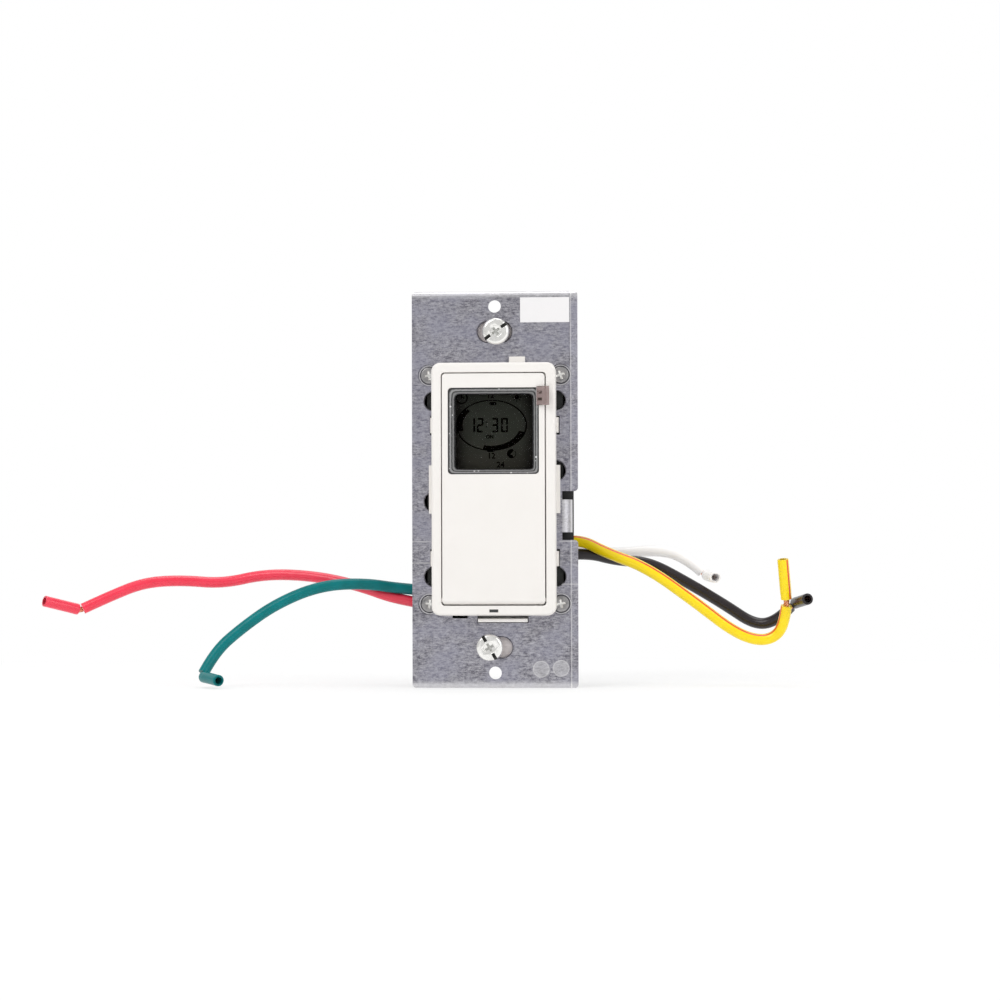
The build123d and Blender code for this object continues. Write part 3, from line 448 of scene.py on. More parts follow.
mouldedLooks = {
    "white_plastic": {
        "name": "whiteThermoplastic", "base": (0.87, 0.845, 0.815, 1), "shade": (0.83, 0.80, 0.765, 1),
        "texture": 0.22 * mm, "flow": 9 * mm, "roughness": (0.30, 0.42), "depth": 0.012 * mm,
        "constants": {"Specular IOR Level": 0.35},
    },
    # the pull tab: the white plastic painted paler, a lit copy that lifts the shade the tab sits in
    "tab": {
        "name": "tabPlasticPaintedLight", "base": (1.0, 0.98, 0.95, 1), "shade": (0.96, 0.94, 0.91, 1),
        "texture": 0.3 * mm, "flow": 5 * mm, "roughness": (0.30, 0.42), "depth": 0.01 * mm,
        "constants": {},
    },
    "button_plastic": {
        "name": "buttonPlastic", "base": (0.72, 0.71, 0.69, 1), "shade": (0.64, 0.63, 0.61, 1),
        "texture": 0.12 * mm, "flow": 3 * mm, "roughness": (0.38, 0.5), "depth": 0.01 * mm,
        "constants": {},
    },
    "black_plastic": {
        "name": "blackPhenolic", "base": (0.022, 0.022, 0.024, 1), "shade": (0.010, 0.010, 0.011, 1),
        "texture": 0.35 * mm, "flow": 5 * mm, "roughness": (0.32, 0.5), "depth": 0.03 * mm,
        "constants": {"Coat Weight": 0.1, "Coat Roughness": 0.3},
    },
}


def mouldedPlastic(look):
    finish, wire = newFinish(look["name"], look["constants"])
    texture = wire.grain(look["texture"], 2)
    flow = wire.grain(look["flow"], 3)
    tone = flow * 0.7 + texture * 0.3
    feed(finish, colour=tone.spread(-0.2, 1.2).blend(look["shade"], look["base"]),
         roughness=texture.spread(*look["roughness"]), normal=wire.bump(texture + flow * 0.6, look["depth"]))
    return finish


def clearPlastic():
    look = {
        "middle": (0.004, 0.004, 0.004, 1),
        "rims": (1.85 * mm, 1.5 * mm, 1.25 * mm, 1.75 * mm),  # left, right, bottom, top
        # how the rim's painted reflections and shade go from its outer edge inward: dark bands of shade and
        # thin bright lines
        "steps": [
            (0.0, 0.07), (0.1, 0.045), (0.2, 0.14), (0.3, 0.34), (0.42, 0.26), (0.5, 0.06),
            (0.58, 0.05), (0.66, 0.2), (0.78, 0.22), (0.86, 0.07), (0.94, 0.03), (1.0, 0.012),
        ],
        "haze": 0.05, "scratch": 0.8 * mm, "corner": 1.3, "mottle": 0.6 * mm,
        # the pale colour and its spacing are for painted glints on the rim
        "glint": (0.75, 0.75, 0.75, 1), "glints": 1.5 * mm,
    }
    low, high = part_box("display_window")
    finish, wire = newFinish("tintedAcrylic", {"Specular IOR Level": 0.15})
    x, _, z = wire.axes()
    left, right, bottom, top = look["rims"]
    inside = None
    sides = ((x - low[0], left), (high[0] - x, right), (z - low[2], bottom), (high[2] - z, top))
    for distance, width in sides:
        step = distance / width
        inside = step if inside is None else wire.maths("SMOOTH_MIN", inside, step, look["corner"])
    mottle = wire.grain(look["mottle"], 3, (1, 1, 1), 0.7)
    wavy = inside + (mottle - 0.5) * 0.22
    rim = inside.under(1.0, 0.06)
    # painted glints: specks of reflection in the rim's inner part
    glint = wire.cells(look["glints"]).under(0.16, 0.06) * inside.between(0.15, 0.7, 0.1)
    # the rim's painted reflections and shade, from the steps above
    edge = wire.node("ShaderNodeValToRGB", {"stops": look["steps"]}, {"Fac": wavy})
    edge = glint.blend(edge, look["glint"])
    haze = wire.grain(look["scratch"], 3, (1, 1, 0.15))
    feed(finish, colour=rim.blend(look["middle"], edge), alpha=rim.spread(look["haze"], 0.95),
         roughness=haze.spread(0.04, 0.16) + rim * 0.3, normal=wire.bump(haze + mottle * rim * 6, 0.01 * mm))
    return finish


def filmPlastic():
    look = {
        "tab": (0.32, 0.235, 0.225, 1), "clear": (0.75, 0.75, 0.75, 1), "print": (0.05, 0.035, 0.03, 1),
        "tabStart": 11.3 * mm, "dust": 0.9 * mm, "dustCloud": 2.5 * mm,
        "rows": 0.9 * mm, "rowEnds": (11.6 * mm, 12.8 * mm), "rowBreaks": 0.5 * mm,
    }
    finish, wire = newFinish("peelFilm", {"Specular IOR Level": 0.2})
    x, _, z = wire.axes()
    tab = x.over(look["tabStart"], 0.15 * mm)
    dust = wire.cells(look["dust"]).under(0.09, 0.04) * wire.grain(look["dustCloud"], 2).over(0.6, 0.04)
    stripe = wire.maths("PINGPONG", z, look["rows"]).under(look["rows"] * 0.42, 0.08 * mm)
    inRow = stripe * x.between(*look["rowEnds"], 0.06 * mm)
    printed = inRow * wire.grain(look["rowBreaks"], 2).over(0.4, 0.1)
    hue = printed.blend(tab.blend(look["clear"], look["tab"]), look["print"])
    feed(finish, colour=hue, alpha=tab * 0.62 + dust * 0.2 + printed * 0.3,
         roughness=dust.spread(0.12, 0.5))
    return finish


def displayGlass():
    look = {
        # the darker edge colour is painted shade cast by the holder round the glass
        "middle": (0.030, 0.033, 0.026, 1), "edge": (0.011, 0.009, 0.008, 1), "low": (0.034, 0.033, 0.026, 1),
        "sides": (8.4 * mm, 1.8 * mm), "top": (24.5 * mm, 2.5 * mm), "foot": (10 * mm, 5 * mm),
        "smear": 5 * mm, "grain": 0.3 * mm,
    }
    finish, wire = newFinish("liquidCrystalGlass", {"Specular IOR Level": 0.05})
    x, _, z = wire.axes()
    # painted shade: the glass darkens toward its sides and its top, where the holder shades it, with a random
    # smear added
    across = wire.maths("ABSOLUTE", x).over(*look["sides"])
    up = z.over(*look["top"])
    low = z.under(*look["foot"])
    smear = wire.grain(look["smear"], 3)
    paintedShadeAndSmear = wire.maths("MAXIMUM", across * 0.75, up * 0.3) + smear * 0.2
    hue = paintedShadeAndSmear.blend(low.blend(look["middle"], look["low"]), look["edge"])
    feed(finish, colour=hue, roughness=smear.spread(0.3, 0.5),
         normal=wire.bump(wire.grain(look["grain"]), 0.002 * mm))
    return finish


def displayInk():
    look = {"dark": (0.0010, 0.0007, 0.0005, 1), "light": (0.0026, 0.002, 0.0015, 1), "grain": 0.3 * mm}
    finish, wire = newFinish("displayInk", {"Specular IOR Level": 0.0})
    grain = wire.grain(look["grain"])
    feed(finish, colour=grain.blend(look["dark"], look["light"]), roughness=grain.spread(0.4, 0.6))
    return finish


def plainSurface(name, look):
    finish, wire = newFinish(name, look.get("constants", {}))
    broad = wire.grain(look["broad"], 4, look.get("stretch", (1, 1, 1)))
    fine = wire.grain(look["fine"], 2, look.get("stretch", (1, 1, 1)))
    tone = broad * 0.6 + fine * 0.4
    feed(finish, colour=tone.between(0.4, 2.0, 0.2).blend(look["dark"] + (1,), look["light"] + (1,)),
         roughness=fine.spread(*look["roughness"]), normal=wire.bump(tone, look["depth"]))
    return finish


# the smaller finishes share one recipe: two tones, a broad and a fine grain
smallFinishes = {
    "light_plate": {
        "dark": (0.55, 0.56, 0.5), "light": (0.72, 0.73, 0.66), "broad": 4 * mm, "fine": 0.4 * mm,
        "roughness": (0.3, 0.5), "depth": 0.01 * mm,
    },
    "contact_rubber": {
        "dark": (0.16, 0.05, 0.05), "light": (0.3, 0.1, 0.1), "broad": 1 * mm, "fine": 0.12 * mm,
        "roughness": (0.6, 0.8), "depth": 0.02 * mm, "stretch": (4, 1, 1),
    },
    "sheet": {
        "dark": (0.012, 0.013, 0.013), "light": (0.03, 0.032, 0.03), "broad": 2 * mm, "fine": 0.2 * mm,
        "roughness": (0.6, 0.8), "depth": 0.03 * mm, "stretch": (1, 1, 3),
    },
    "switch_metal": {
        "dark": (0.48, 0.48, 0.5), "light": (0.72, 0.72, 0.73), "broad": 1 * mm, "fine": 0.1 * mm,
        "roughness": (0.25, 0.4), "depth": 0.006 * mm, "constants": {"Metallic": 1.0},
    },
    "cell": {
        "dark": (0.55, 0.55, 0.54), "light": (0.75, 0.74, 0.72), "broad": 3 * mm, "fine": 0.15 * mm,
        "roughness": (0.2, 0.38), "depth": 0.006 * mm, "constants": {"Metallic": 1.0},
    },
    "chip": {
        "dark": (0.012, 0.012, 0.013), "light": (0.028, 0.028, 0.03), "broad": 2 * mm, "fine": 0.08 * mm,
        "roughness": (0.55, 0.75), "depth": 0.01 * mm,
    },
    "led": {
        "dark": (0.75, 0.72, 0.6), "light": (0.85, 0.83, 0.74), "broad": 1 * mm, "fine": 0.1 * mm,
        "roughness": (0.25, 0.4), "depth": 0.004 * mm,
    },
    "brass": {
        "dark": (0.5, 0.32, 0.12), "light": (0.74, 0.52, 0.24), "broad": 2 * mm, "fine": 0.12 * mm,
        "roughness": (0.22, 0.42), "depth": 0.006 * mm, "constants": {"Metallic": 1.0},
    },
    "copper": {
        "dark": (0.55, 0.2, 0.1), "light": (0.86, 0.42, 0.25), "broad": 1 * mm, "fine": 0.1 * mm,
        "roughness": (0.2, 0.4), "depth": 0.006 * mm, "constants": {"Metallic": 1.0},
    },
    "zinc_steel": {
        "dark": (0.72, 0.72, 0.70), "light": (0.97, 0.96, 0.93), "broad": 1.5 * mm, "fine": 0.14 * mm,
        "roughness": (0.1, 0.24), "depth": 0.006 * mm, "constants": {"Metallic": 0.75},
    },
    # painted shade in a box screw's cross recess: a darker steel tone
    "drive_cross": {
        "dark": (0.30, 0.30, 0.29), "light": (0.70, 0.70, 0.67), "broad": 0.5 * mm, "fine": 0.1 * mm,
        "roughness": (0.3, 0.5), "depth": 0.01 * mm, "constants": {"Metallic": 0.5},
    },
    # painted shade in a box screw's slot: near black
    "drive_recess": {
        "dark": (0.012, 0.012, 0.012), "light": (0.05, 0.05, 0.048), "broad": 0.6 * mm, "fine": 0.1 * mm,
        "roughness": (0.5, 0.7), "depth": 0.01 * mm, "constants": {"Specular IOR Level": 0.2},
    },
    "dark_steel": {
        "dark": (0.16, 0.16, 0.165), "light": (0.40, 0.39, 0.39), "broad": 1 * mm, "fine": 0.12 * mm,
        "roughness": (0.25, 0.45), "depth": 0.012 * mm, "constants": {"Metallic": 1.0},
    },
    "fibre": {
        "dark": (0.62, 0.56, 0.55), "light": (0.88, 0.82, 0.81), "broad": 1.5 * mm, "fine": 0.12 * mm,
        "roughness": (0.6, 0.8), "depth": 0.02 * mm, "stretch": (1, 1, 2),
    },
    "relay_case": {
        "dark": (0.02, 0.1, 0.28), "light": (0.04, 0.16, 0.4), "broad": 6 * mm, "fine": 0.2 * mm,
        "roughness": (0.3, 0.45), "depth": 0.01 * mm,
    },
    "film_cap": {
        "dark": (0.34, 0.2, 0.02), "light": (0.5, 0.31, 0.04), "broad": 4 * mm, "fine": 0.2 * mm,
        "roughness": (0.3, 0.45), "depth": 0.01 * mm,
    },
    "varistor": {
        "dark": (0.02, 0.07, 0.2), "light": (0.035, 0.11, 0.3), "broad": 2 * mm, "fine": 0.25 * mm,
        "roughness": (0.25, 0.5), "depth": 0.03 * mm,
    },
    "can_sleeve": {
        "dark": (0.012, 0.014, 0.03), "light": (0.03, 0.033, 0.06), "broad": 4 * mm, "fine": 0.2 * mm,
        "roughness": (0.25, 0.4), "depth": 0.008 * mm,
    },
    "winding": {
        "dark": (0.3, 0.1, 0.035), "light": (0.6, 0.25, 0.1), "broad": 3 * mm, "fine": 0.25 * mm,
        "roughness": (0.3, 0.5), "depth": 0.06 * mm, "stretch": (1, 8, 1),
    },
    "diode_body": {
        "dark": (0.014, 0.014, 0.015), "light": (0.03, 0.03, 0.032), "broad": 2 * mm, "fine": 0.1 * mm,
        "roughness": (0.35, 0.55), "depth": 0.01 * mm,
    },
    "resistor_body": {
        "dark": (0.18, 0.24, 0.2), "light": (0.3, 0.38, 0.32), "broad": 2 * mm, "fine": 0.15 * mm,
        "roughness": (0.4, 0.6), "depth": 0.015 * mm,
    },
}


# solder mask over blocks of copper
def boardFinish():
    look = {
        "mask": (0.012, 0.085, 0.035, 1), "track": (0.03, 0.15, 0.06, 1),
        "pitch": 2.54 * mm, "blocks": 1.6, "weave": 0.3 * mm,
    }
    finish, wire = newFinish("solderMask", {"Coat Weight": 0.4, "Coat Roughness": 0.15})
    block = wire.cells(look["pitch"] * look["blocks"], "DISTANCE_TO_EDGE").over(0.16, 0.02)
    weave = wire.grain(look["weave"], 2)
    feed(finish, colour=block.blend(look["mask"], look["track"]), roughness=weave.spread(0.3, 0.45),
         normal=wire.bump(block + weave * 0.2, 0.03 * mm))
    return finish


insulationLooks = {
    "red": {
        "base": (0.95, 0.035, 0.09), "dark": (0.80, 0.012, 0.045), "sheen": 1.0, "coat": 0.5, "gloss": 0.5,
    },
    "green": {
        "base": (0.0, 0.22, 0.235), "dark": (0.0, 0.14, 0.14), "sheen": 0.0, "coat": 0.12, "gloss": 0.15,
    },
    "yellow": {
        "base": (1.0, 0.78, 0.0), "dark": (0.94, 0.66, 0.0), "stripe": (0.80, 0.07, 0.03), "sheen": 0.2,
        "coat": 0.4, "gloss": 0.3,
    },
    "black": {
        "base": (0.022, 0.014, 0.016), "dark": (0.008, 0.005, 0.006), "sheen": 0.0, "coat": 0.35,
        "gloss": 0.3,
    },
    "white": {
        "base": (1.0, 0.99, 0.98), "dark": (0.97, 0.94, 0.94), "sheen": 0.5, "coat": 0.3, "gloss": 0.5,
    },
}


# a stripe runs along a lead: the way round is V in a curve's UV map and U in a cylinder's
stripes = {"lead": (1, 0.275, 0.335), "stub": (0, 0.66, 0.72)}
insulationGrain = {"mottle": 3.2 * mm, "fine": 0.3 * mm}


def insulationFinish(colour, form):
    look = insulationLooks[colour]
    finish, wire = newFinish(f"{colour}Insulation", {
        "Specular IOR Level": look["gloss"], "Sheen Weight": look["sheen"], "Sheen Roughness": 0.3,
        "Coat Weight": look["coat"], "Coat Roughness": 0.14,
    })
    mottle = wire.grain(insulationGrain["mottle"], 4)
    fine = wire.grain(insulationGrain["fine"], 2)
    hue = mottle.spread(-0.1, 1.1).blend(look["dark"] + (1,), look["base"] + (1,))
    if "stripe" in look:
        axis, first, last = stripes[form]
        around = wire.node("ShaderNodeTexCoord", out=coordinates["uv"])
        turn = wire.node("ShaderNodeSeparateXYZ", None, {0: around}, out=axis)
        hue = turn.between(first, last, 0.012).blend(hue, look["stripe"] + (1,))
    feed(finish, colour=hue, roughness=fine.spread(0.26, 0.46),
         normal=wire.bump(mottle + fine * 0.12, 0.05 * mm))
    return finish


finishes = {
    "strap": strapMetal(), "label": labelPaper(), "clear_plastic": clearPlastic(), "film": filmPlastic(),
    "display_glass": displayGlass(), "display_ink": displayInk(), "board": boardFinish(),
}
for name, look in mouldedLooks.items():
    finishes[name] = mouldedPlastic(look)
for name, look in smallFinishes.items():
    finishes[name] = plainSurface(name, look)
for colour in insulationLooks:
    finishes[colour] = insulationFinish(colour, "lead")
    finishes[colour + "Stub"] = insulationFinish(colour, "stub")
# each CAD node shows the finish of the slot that it names
for node in nodes.values():
    slotName = node.data.materials[0].name.split(".")[0]
    finish = finishes[slotName.replace("_insulation", "")]
    node.data.materials.clear()
    node.data.materials.append(finish)
# the pull tab takes the paler, painted-light copy of the white plastic
nodes["air_gap_tab"].data.materials[0] = finishes["tab"]
print("finishes ready")


# leads: the five insulated wires, the cut ends of insulation left on them and the bare strands

lead = {
    "diameter": 3.0 * mm,
    "wall": 20.3 * mm,  # how far out they leave the housing
    "lengths": {"red": 100.2, "green": 73.2, "yellow": 76.8, "black": 69.6, "white": 42.7},  # millimetres
    "strandRing": 0.52 * mm,
    "strandRadius": 0.26 * mm,
    "strands": 7,
    "twist": 0.6,  # turns of the strands over the bare stretch
    # the bare stretch on each side of its bend
    "strip": {"red": 0.7 * mm, "green": 1.1 * mm, "yellow": 0.9 * mm, "black": 1.3 * mm, "white": 1.2 * mm},
    "entry": 3.0 * mm,  # how far the strands go into the insulation
    "stubs": {"red": 10.1 * mm, "green": 9.8 * mm, "yellow": 10.9 * mm, "black": 9.6 * mm, "white": 9.6 * mm},
    "bore": 0.95 * mm,
    "rimRound": 0.14 * mm,
    "stubRings": 14,
    "squeeze": 0.05,  # how far the stripper pinched a cut end
    "squeezed": (0.06, 0.08),  # where along the stub, and how wide
    "sides": 40,
    "strandSides": 12,
}

# millimetres: the start inside the housing, then the route
routes = {
    "red": [
        (-16.4, 15.6, -31.0), (-27.0, 15.6, -29.6), (-38.3, 17.0, -25.5), (-50.8, 19.0, -22.9),
        (-64.2, 20.0, -22.4), (-75.7, 19.0, -25.0), (-86.6, 17.0, -24.0), (-96.6, 14.5, -24.6),
        (-105.5, 12.0, -28.3), (-112.4, 10.0, -31.6),
    ],
    "green": [
        (-16.4, 15.6, -27.1), (-26.0, 15.6, -26.5), (-36.8, 12.8, -24.8), (-48.3, 9.8, -25.6),
        (-59.7, 8.2, -30.4), (-68.8, 7.0, -36.9), (-75.6, 5.5, -43.0), (-78.2, 2.5, -48.6),
    ],
    "yellow": [
        (16.4, 15.6, -14.0), (21.6, 15.6, -12.9), (29.5, 13.4, -17.0), (40.0, 11.4, -20.8),
        (53.0, 11.0, -30.2), (63.0, 10.6, -38.0), (69.8, 10.0, -40.5), (74.4, 9.6, -39.2),
        (76.5, 8.6, -35.2), (76.9, 7.4, -31.0),
    ],
    "black": [
        (16.4, 15.6, -17.6), (23.5, 15.8, -16.7), (32.0, 17.0, -19.0), (40.5, 18.0, -19.3),
        (51.0, 18.0, -25.0), (61.0, 17.0, -31.0), (69.0, 15.4, -36.4), (74.8, 13.6, -35.2),
        (78.2, 11.4, -31.4),
    ],
    "white": [
        (13.4, 21.5, -16.2), (25.0, 21.5, -16.6), (33.4, 22.8, -17.1), (41.9, 23.6, -16.1),
        (49.6, 24.0, -17.5), (55.0, 24.0, -22.2),
    ],
}
stubHeadings = {
    "red": (-0.78, -0.58, 0.235),
    "green": (0.55, -0.83, -0.06),
    "yellow": (-0.09, -0.2, 0.975),
    "black": (0.29, -0.94, 0.13),
    "white": (0.22, -0.97, -0.05),
}


def makeCurve(name, points, radius, sides):
    curve = bpy.data.curves.new(name, "CURVE")
    curve.dimensions = "3D"
    spline = curve.splines.new("NURBS")
    spline.points.add(len(points) - 1)
    for knot, point in zip(spline.points, points):
        knot.co = (*point, 1)
    spline.order_u = 3
    spline.use_endpoint_u = True
    spline.resolution_u = 12
    curve.bevel_depth = radius
    curve.bevel_resolution = sides // 4 - 2
    curve.use_fill_caps = True
    piece = bpy.data.objects.new(name, curve)
    bpy.context.scene.collection.objects.link(piece)
    return piece


def leadEnd(colour):
    points = [Vector(point) * mm for point in routes[colour]]
    heading = (points[-1] - points[-2]).normalized()
    stubHeading = Vector(stubHeadings[colour]).normalized()
    strip = lead["strip"][colour]
    bend = points[-1] + heading * strip
    return points[-1], heading, bend, bend + stubHeading * strip, stubHeading


# a cut length of insulation: a tube with rounded rims, pinched a little near its start
def makeStub(colour, body):
    _, _, _, start, heading = leadEnd(colour)
    outer, bore, length = lead["diameter"] / 2, lead["bore"], lead["stubs"][colour]
    stub = startCylinder(outer, 0, length, lead["sides"])
    pickFaces(stub, lambda centre, normal: abs(normal.z) > 0.5)
    bpy.ops.mesh.inset(thickness=outer - bore, use_individual=True)
    leaveEdit()
    pickFaces(stub, lambda centre, normal: abs(normal.z) > 0.5 and centre.xy.length < bore / 4)
    bpy.ops.mesh.bridge_edge_loops()
    leaveEdit()
    pickEdges(stub, lambda a, b: abs(a.z - b.z) < outer / 100 and a.xy.length > outer * 0.99)
    bpy.ops.mesh.bevel(offset=lead["rimRound"], segments=3)
    leaveEdit()
    pickEdges(stub, lambda a, b: abs(a.z - b.z) > length / 2)
    bpy.ops.mesh.subdivide(number_cuts=lead["stubRings"])
    leaveEdit()
    place, spread = lead["squeezed"]
    for point in stub.data.vertices:
        along = point.co.z / length
        squeeze = lead["squeeze"] * math.exp(-((along - place) / spread) ** 2)
        point.co.x *= 1 - squeeze
        point.co.y *= 1 + squeeze * 0.4
    bpy.ops.object.shade_smooth_by_angle(angle=math.radians(50))
    turn = heading.to_track_quat("Z", "Y").to_matrix().to_4x4()
    putAt(stub, Matrix.Translation(start) @ turn)
    finish, slotName = finishes[colour + "Stub"], f"{colour}_insulation"
    return settle(stub, f"stub_{colour}_insulation", finish, body, [f"stub_{colour}"])


# the bare strands at a cut: wires that twist round the conductor's own line
def makeStrands(colour, body):
    last, heading, bend, start, stubHeading = leadEnd(colour)
    route = [last - heading * lead["entry"], last, bend, start, start + stubHeading * lead["entry"]]
    core = makeCurve("conductorLine", route, 0, lead["sides"])
    line = bpy.data.meshes.new_from_object(core)
    centres = [point.co.copy() for point in line.vertices]
    bpy.data.meshes.remove(line)
    bpy.data.objects.remove(core)
    wires = []
    side = heading.orthogonal().normalized()
    for strand in range(lead["strands"]):
        path = []
        for index, centre in enumerate(centres):
            ahead = centres[min(index + 1, len(centres) - 1)] - centres[max(index - 1, 0)]
            ahead = ahead.normalized()
            across = (side - ahead * side.dot(ahead)).normalized()
            turn = math.tau * (strand / (lead["strands"] - 1) + lead["twist"] * index / len(centres))
            off = Matrix.Rotation(turn, 3, ahead) @ across
            ring = 0 if strand == 0 else lead["strandRing"]
            path.append(centre + off * ring)
        wires.append(makeCurve(f"strand{strand}", path, lead["strandRadius"], lead["strandSides"]))
    for wire in wires:
        alone(wire)
        bpy.ops.object.convert(target="MESH")
    bundle = joined(wires)
    bpy.ops.object.shade_smooth()
    return settle(bundle, f"conductor_{colour}", finishes["copper"], body, ["lead_conductors"])


def makeLead(colour, body):
    points = [Vector(point) * mm for point in routes[colour]]
    name = f"lead_{colour}_insulation"
    tube = makeCurve(name, points, lead["diameter"] / 2, lead["sides"])
    settle(tube, name, finishes[colour], body, [f"lead_{colour}"])
    stub, strands = makeStub(colour, body), makeStrands(colour, body)


for colour in routes:
    makeLead(colour, "switch_body")
print("leads ready")


# box screws: pan heads with a slot across a cross recess, and a rolled thread

headOverlap = 0.05 * mm  # how far a shank goes into its head
boxScrew = {
    "head": 3.55 * mm,
    "rise": 2.0 * mm,
    "dome": 0.85 * mm,
    "foot": 14,  # the edge under the head is this part of its rise
    "edge": 0.05 * mm,
    "slot": (0.85 * mm, 0.9 * mm, 1.75 * mm),  # width, depth, how far from the middle it starts
    "bowl": (1.6 * mm, 0.35 * mm),  # radius, depth
    "cross": (3.0 * mm, 0.8 * mm, 1.3 * mm),  # length, width, depth
    "neck": (1.45 * mm, 2.7 * mm),  # radius, length
    "core": 1.36 * mm,
    "coreEdge": 0.4 * mm,
    "thread": 1.75 * mm,
    "pitch": 25.4 / 32 * mm,
    "ridge": 0.46,  # half of the thread's section, in pitches
    "steps": 18,
    "runOut": 0.5 * mm,
    "end": 25.6 * mm,
    "strapFront": -1.6 * mm,
    # across, up, and how far it is turned
    "places": {
        "top_box_screw": (0.4 * mm, 41.67 * mm, 36),
        "bottom_box_screw": (-1.45 * mm, -41.67 * mm, -60),
    },
}


def softenEdges(piece, width):
    modify(piece, "BEVEL", width=width, segments=2, limit_method="ANGLE", angle_limit=math.radians(45))


# a cross recess that narrows toward its floor
def crossCuts(head, rise, cross, taper):
    length, across, depth = cross
    for wide, tall in ((length, across), (across, length)):
        cutter = startBlock(wide, tall, rise - depth, rise * 2)
        pickFaces(cutter, lambda centre, normal: normal.z < -0.5)
        bpy.ops.transform.resize(value=(taper, taper, 1))
        leaveEdit()
        cutBy(head, cutter)


def makeScrewHead():
    radius, rise = boxScrew["head"], boxScrew["rise"]
    head = startCylinder(radius, 0, rise, 64)
    pickEdges(head, lambda a, b: a.z > rise / 2 and b.z > rise / 2)
    bpy.ops.mesh.bevel(offset=boxScrew["dome"], segments=8)
    leaveEdit()
    pickEdges(head, lambda a, b: a.z < rise / 9 and b.z < rise / 9)
    bpy.ops.mesh.bevel(offset=rise / boxScrew["foot"], segments=2)
    leaveEdit()
    bowlRadius, bowlDepth = boxScrew["bowl"]
    cutBy(head, startCylinder(bowlRadius, rise - bowlDepth, rise * 2, 32))
    width, depth, start = boxScrew["slot"]
    for side in (-1, 1):
        cutBy(head, startBlock(radius, width, rise - depth, rise * 2, x=side * (start + radius / 2)))
    crossCuts(head, rise, boxScrew["cross"], 0.72)
    softenEdges(head, boxScrew["edge"])
    # the slot's faces take a near-black painted shade and the cross's a darker painted shade
    finishRecess(head, rise - bowlDepth * 1.2, start * 1.15, ("zinc_steel", "drive_recess", "drive_cross"))
    return head


# a head's own finish, then the finishes painted on its recess faces: a slot's outside the given radius, a
# cross's inside it. In a box screw these are painted shade, in a housing screw the cross is a painted
# highlight
def finishRecess(head, level, radius, names):
    for name in names:
        head.data.materials.append(finishes[name])
    for face in head.data.polygons:
        centre, normal = face.center, face.normal
        outward = normal.xy.dot(centre.xy.normalized())
        wall = abs(normal.z) < 0.6 and centre.z > level / 4 and outward < 0.35
        floor = normal.z > 0.6 and centre.z < level and centre.xy.length < radius * 2.4
        if wall or floor:
            face.material_index = 1 if centre.xy.length > radius else len(names) - 1


# a ridge whose section starts as a diamond and runs round the core
def makeThread(low, high):
    pitch, root, crest = boxScrew["pitch"], boxScrew["core"] * 0.97, boxScrew["thread"]
    half = pitch * boxScrew["ridge"]
    bpy.ops.mesh.primitive_circle_add(vertices=4, radius=half)
    ridge = bpy.context.object
    putAt(ridge, Matrix.Rotation(math.radians(90), 4, "X"))
    bottom = min(point.co.x for point in ridge.data.vertices)
    for point in ridge.data.vertices:
        level = (point.co.x - bottom) / (2 * half)
        point.co.x = root + (crest - root) * max(0, level * 2 - 1)
        if level > 0.9:
            point.co.z += pitch * 0.03
    for point in ridge.data.vertices:
        point.co.z += low + pitch / 2
    turns = int((high - low) / pitch) - 1
    steps = boxScrew["steps"]
    modify(ridge, "SCREW", axis="Z", steps=steps, render_steps=steps, angle=math.tau,
           iterations=turns, screw_offset=pitch)
    alone(ridge)
    bpy.ops.object.mode_set(mode="EDIT")
    bpy.ops.mesh.select_all(action="SELECT")
    bpy.ops.mesh.fill_holes(sides=4)
    bpy.ops.mesh.select_all(action="SELECT")
    bpy.ops.mesh.normals_make_consistent(inside=False)
    leaveEdit()
    return ridge


def makeBoxScrew(name):
    neckRadius, neckEnd = boxScrew["neck"]
    neck = startCylinder(neckRadius, -neckEnd, headOverlap, 32)
    core = startCylinder(boxScrew["core"], -boxScrew["end"], -neckEnd, 32)
    pickEdges(core, lambda a, b: a.z < -neckEnd * 2 and b.z < -neckEnd * 2)
    bpy.ops.mesh.bevel(offset=boxScrew["coreEdge"], segments=2)
    leaveEdit()
    thread = makeThread(-boxScrew["end"] + boxScrew["runOut"], -neckEnd)
    screw = joined([makeScrewHead(), neck, core, thread])
    bpy.ops.object.shade_smooth_by_angle(angle=math.radians(35))
    x, z, turn = boxScrew["places"][name]
    place = Matrix.Translation((x, boxScrew["strapFront"], z)) @ facing
    putAt(screw, place @ Matrix.Rotation(math.radians(turn), 4, "Z"))
    return settle(screw, f"{name}_piece", finishes["zinc_steel"], name, [name])


for name in boxScrew["places"]:
    makeBoxScrew(name)
print("box screws ready")


# the four screws that hold the housing: flat heads with a cross, sunk in the strap

capScrew = {
    "head": 2.2 * mm,
    "rise": 0.85 * mm,
    "round": 0.28 * mm,
    "edge": 0.03 * mm,
    "cross": (2.6 * mm, 0.6 * mm, 0.5 * mm),
    "shank": (1.12 * mm, 12.65 * mm),
    "base": -0.65 * mm,
    # millimetres across and up, and degrees
    "places": ((-17.4, 30.2, 12), (17.4, 30.2, 20), (-17.4, -30.2, -8), (17.4, -30.2, 10)),
}


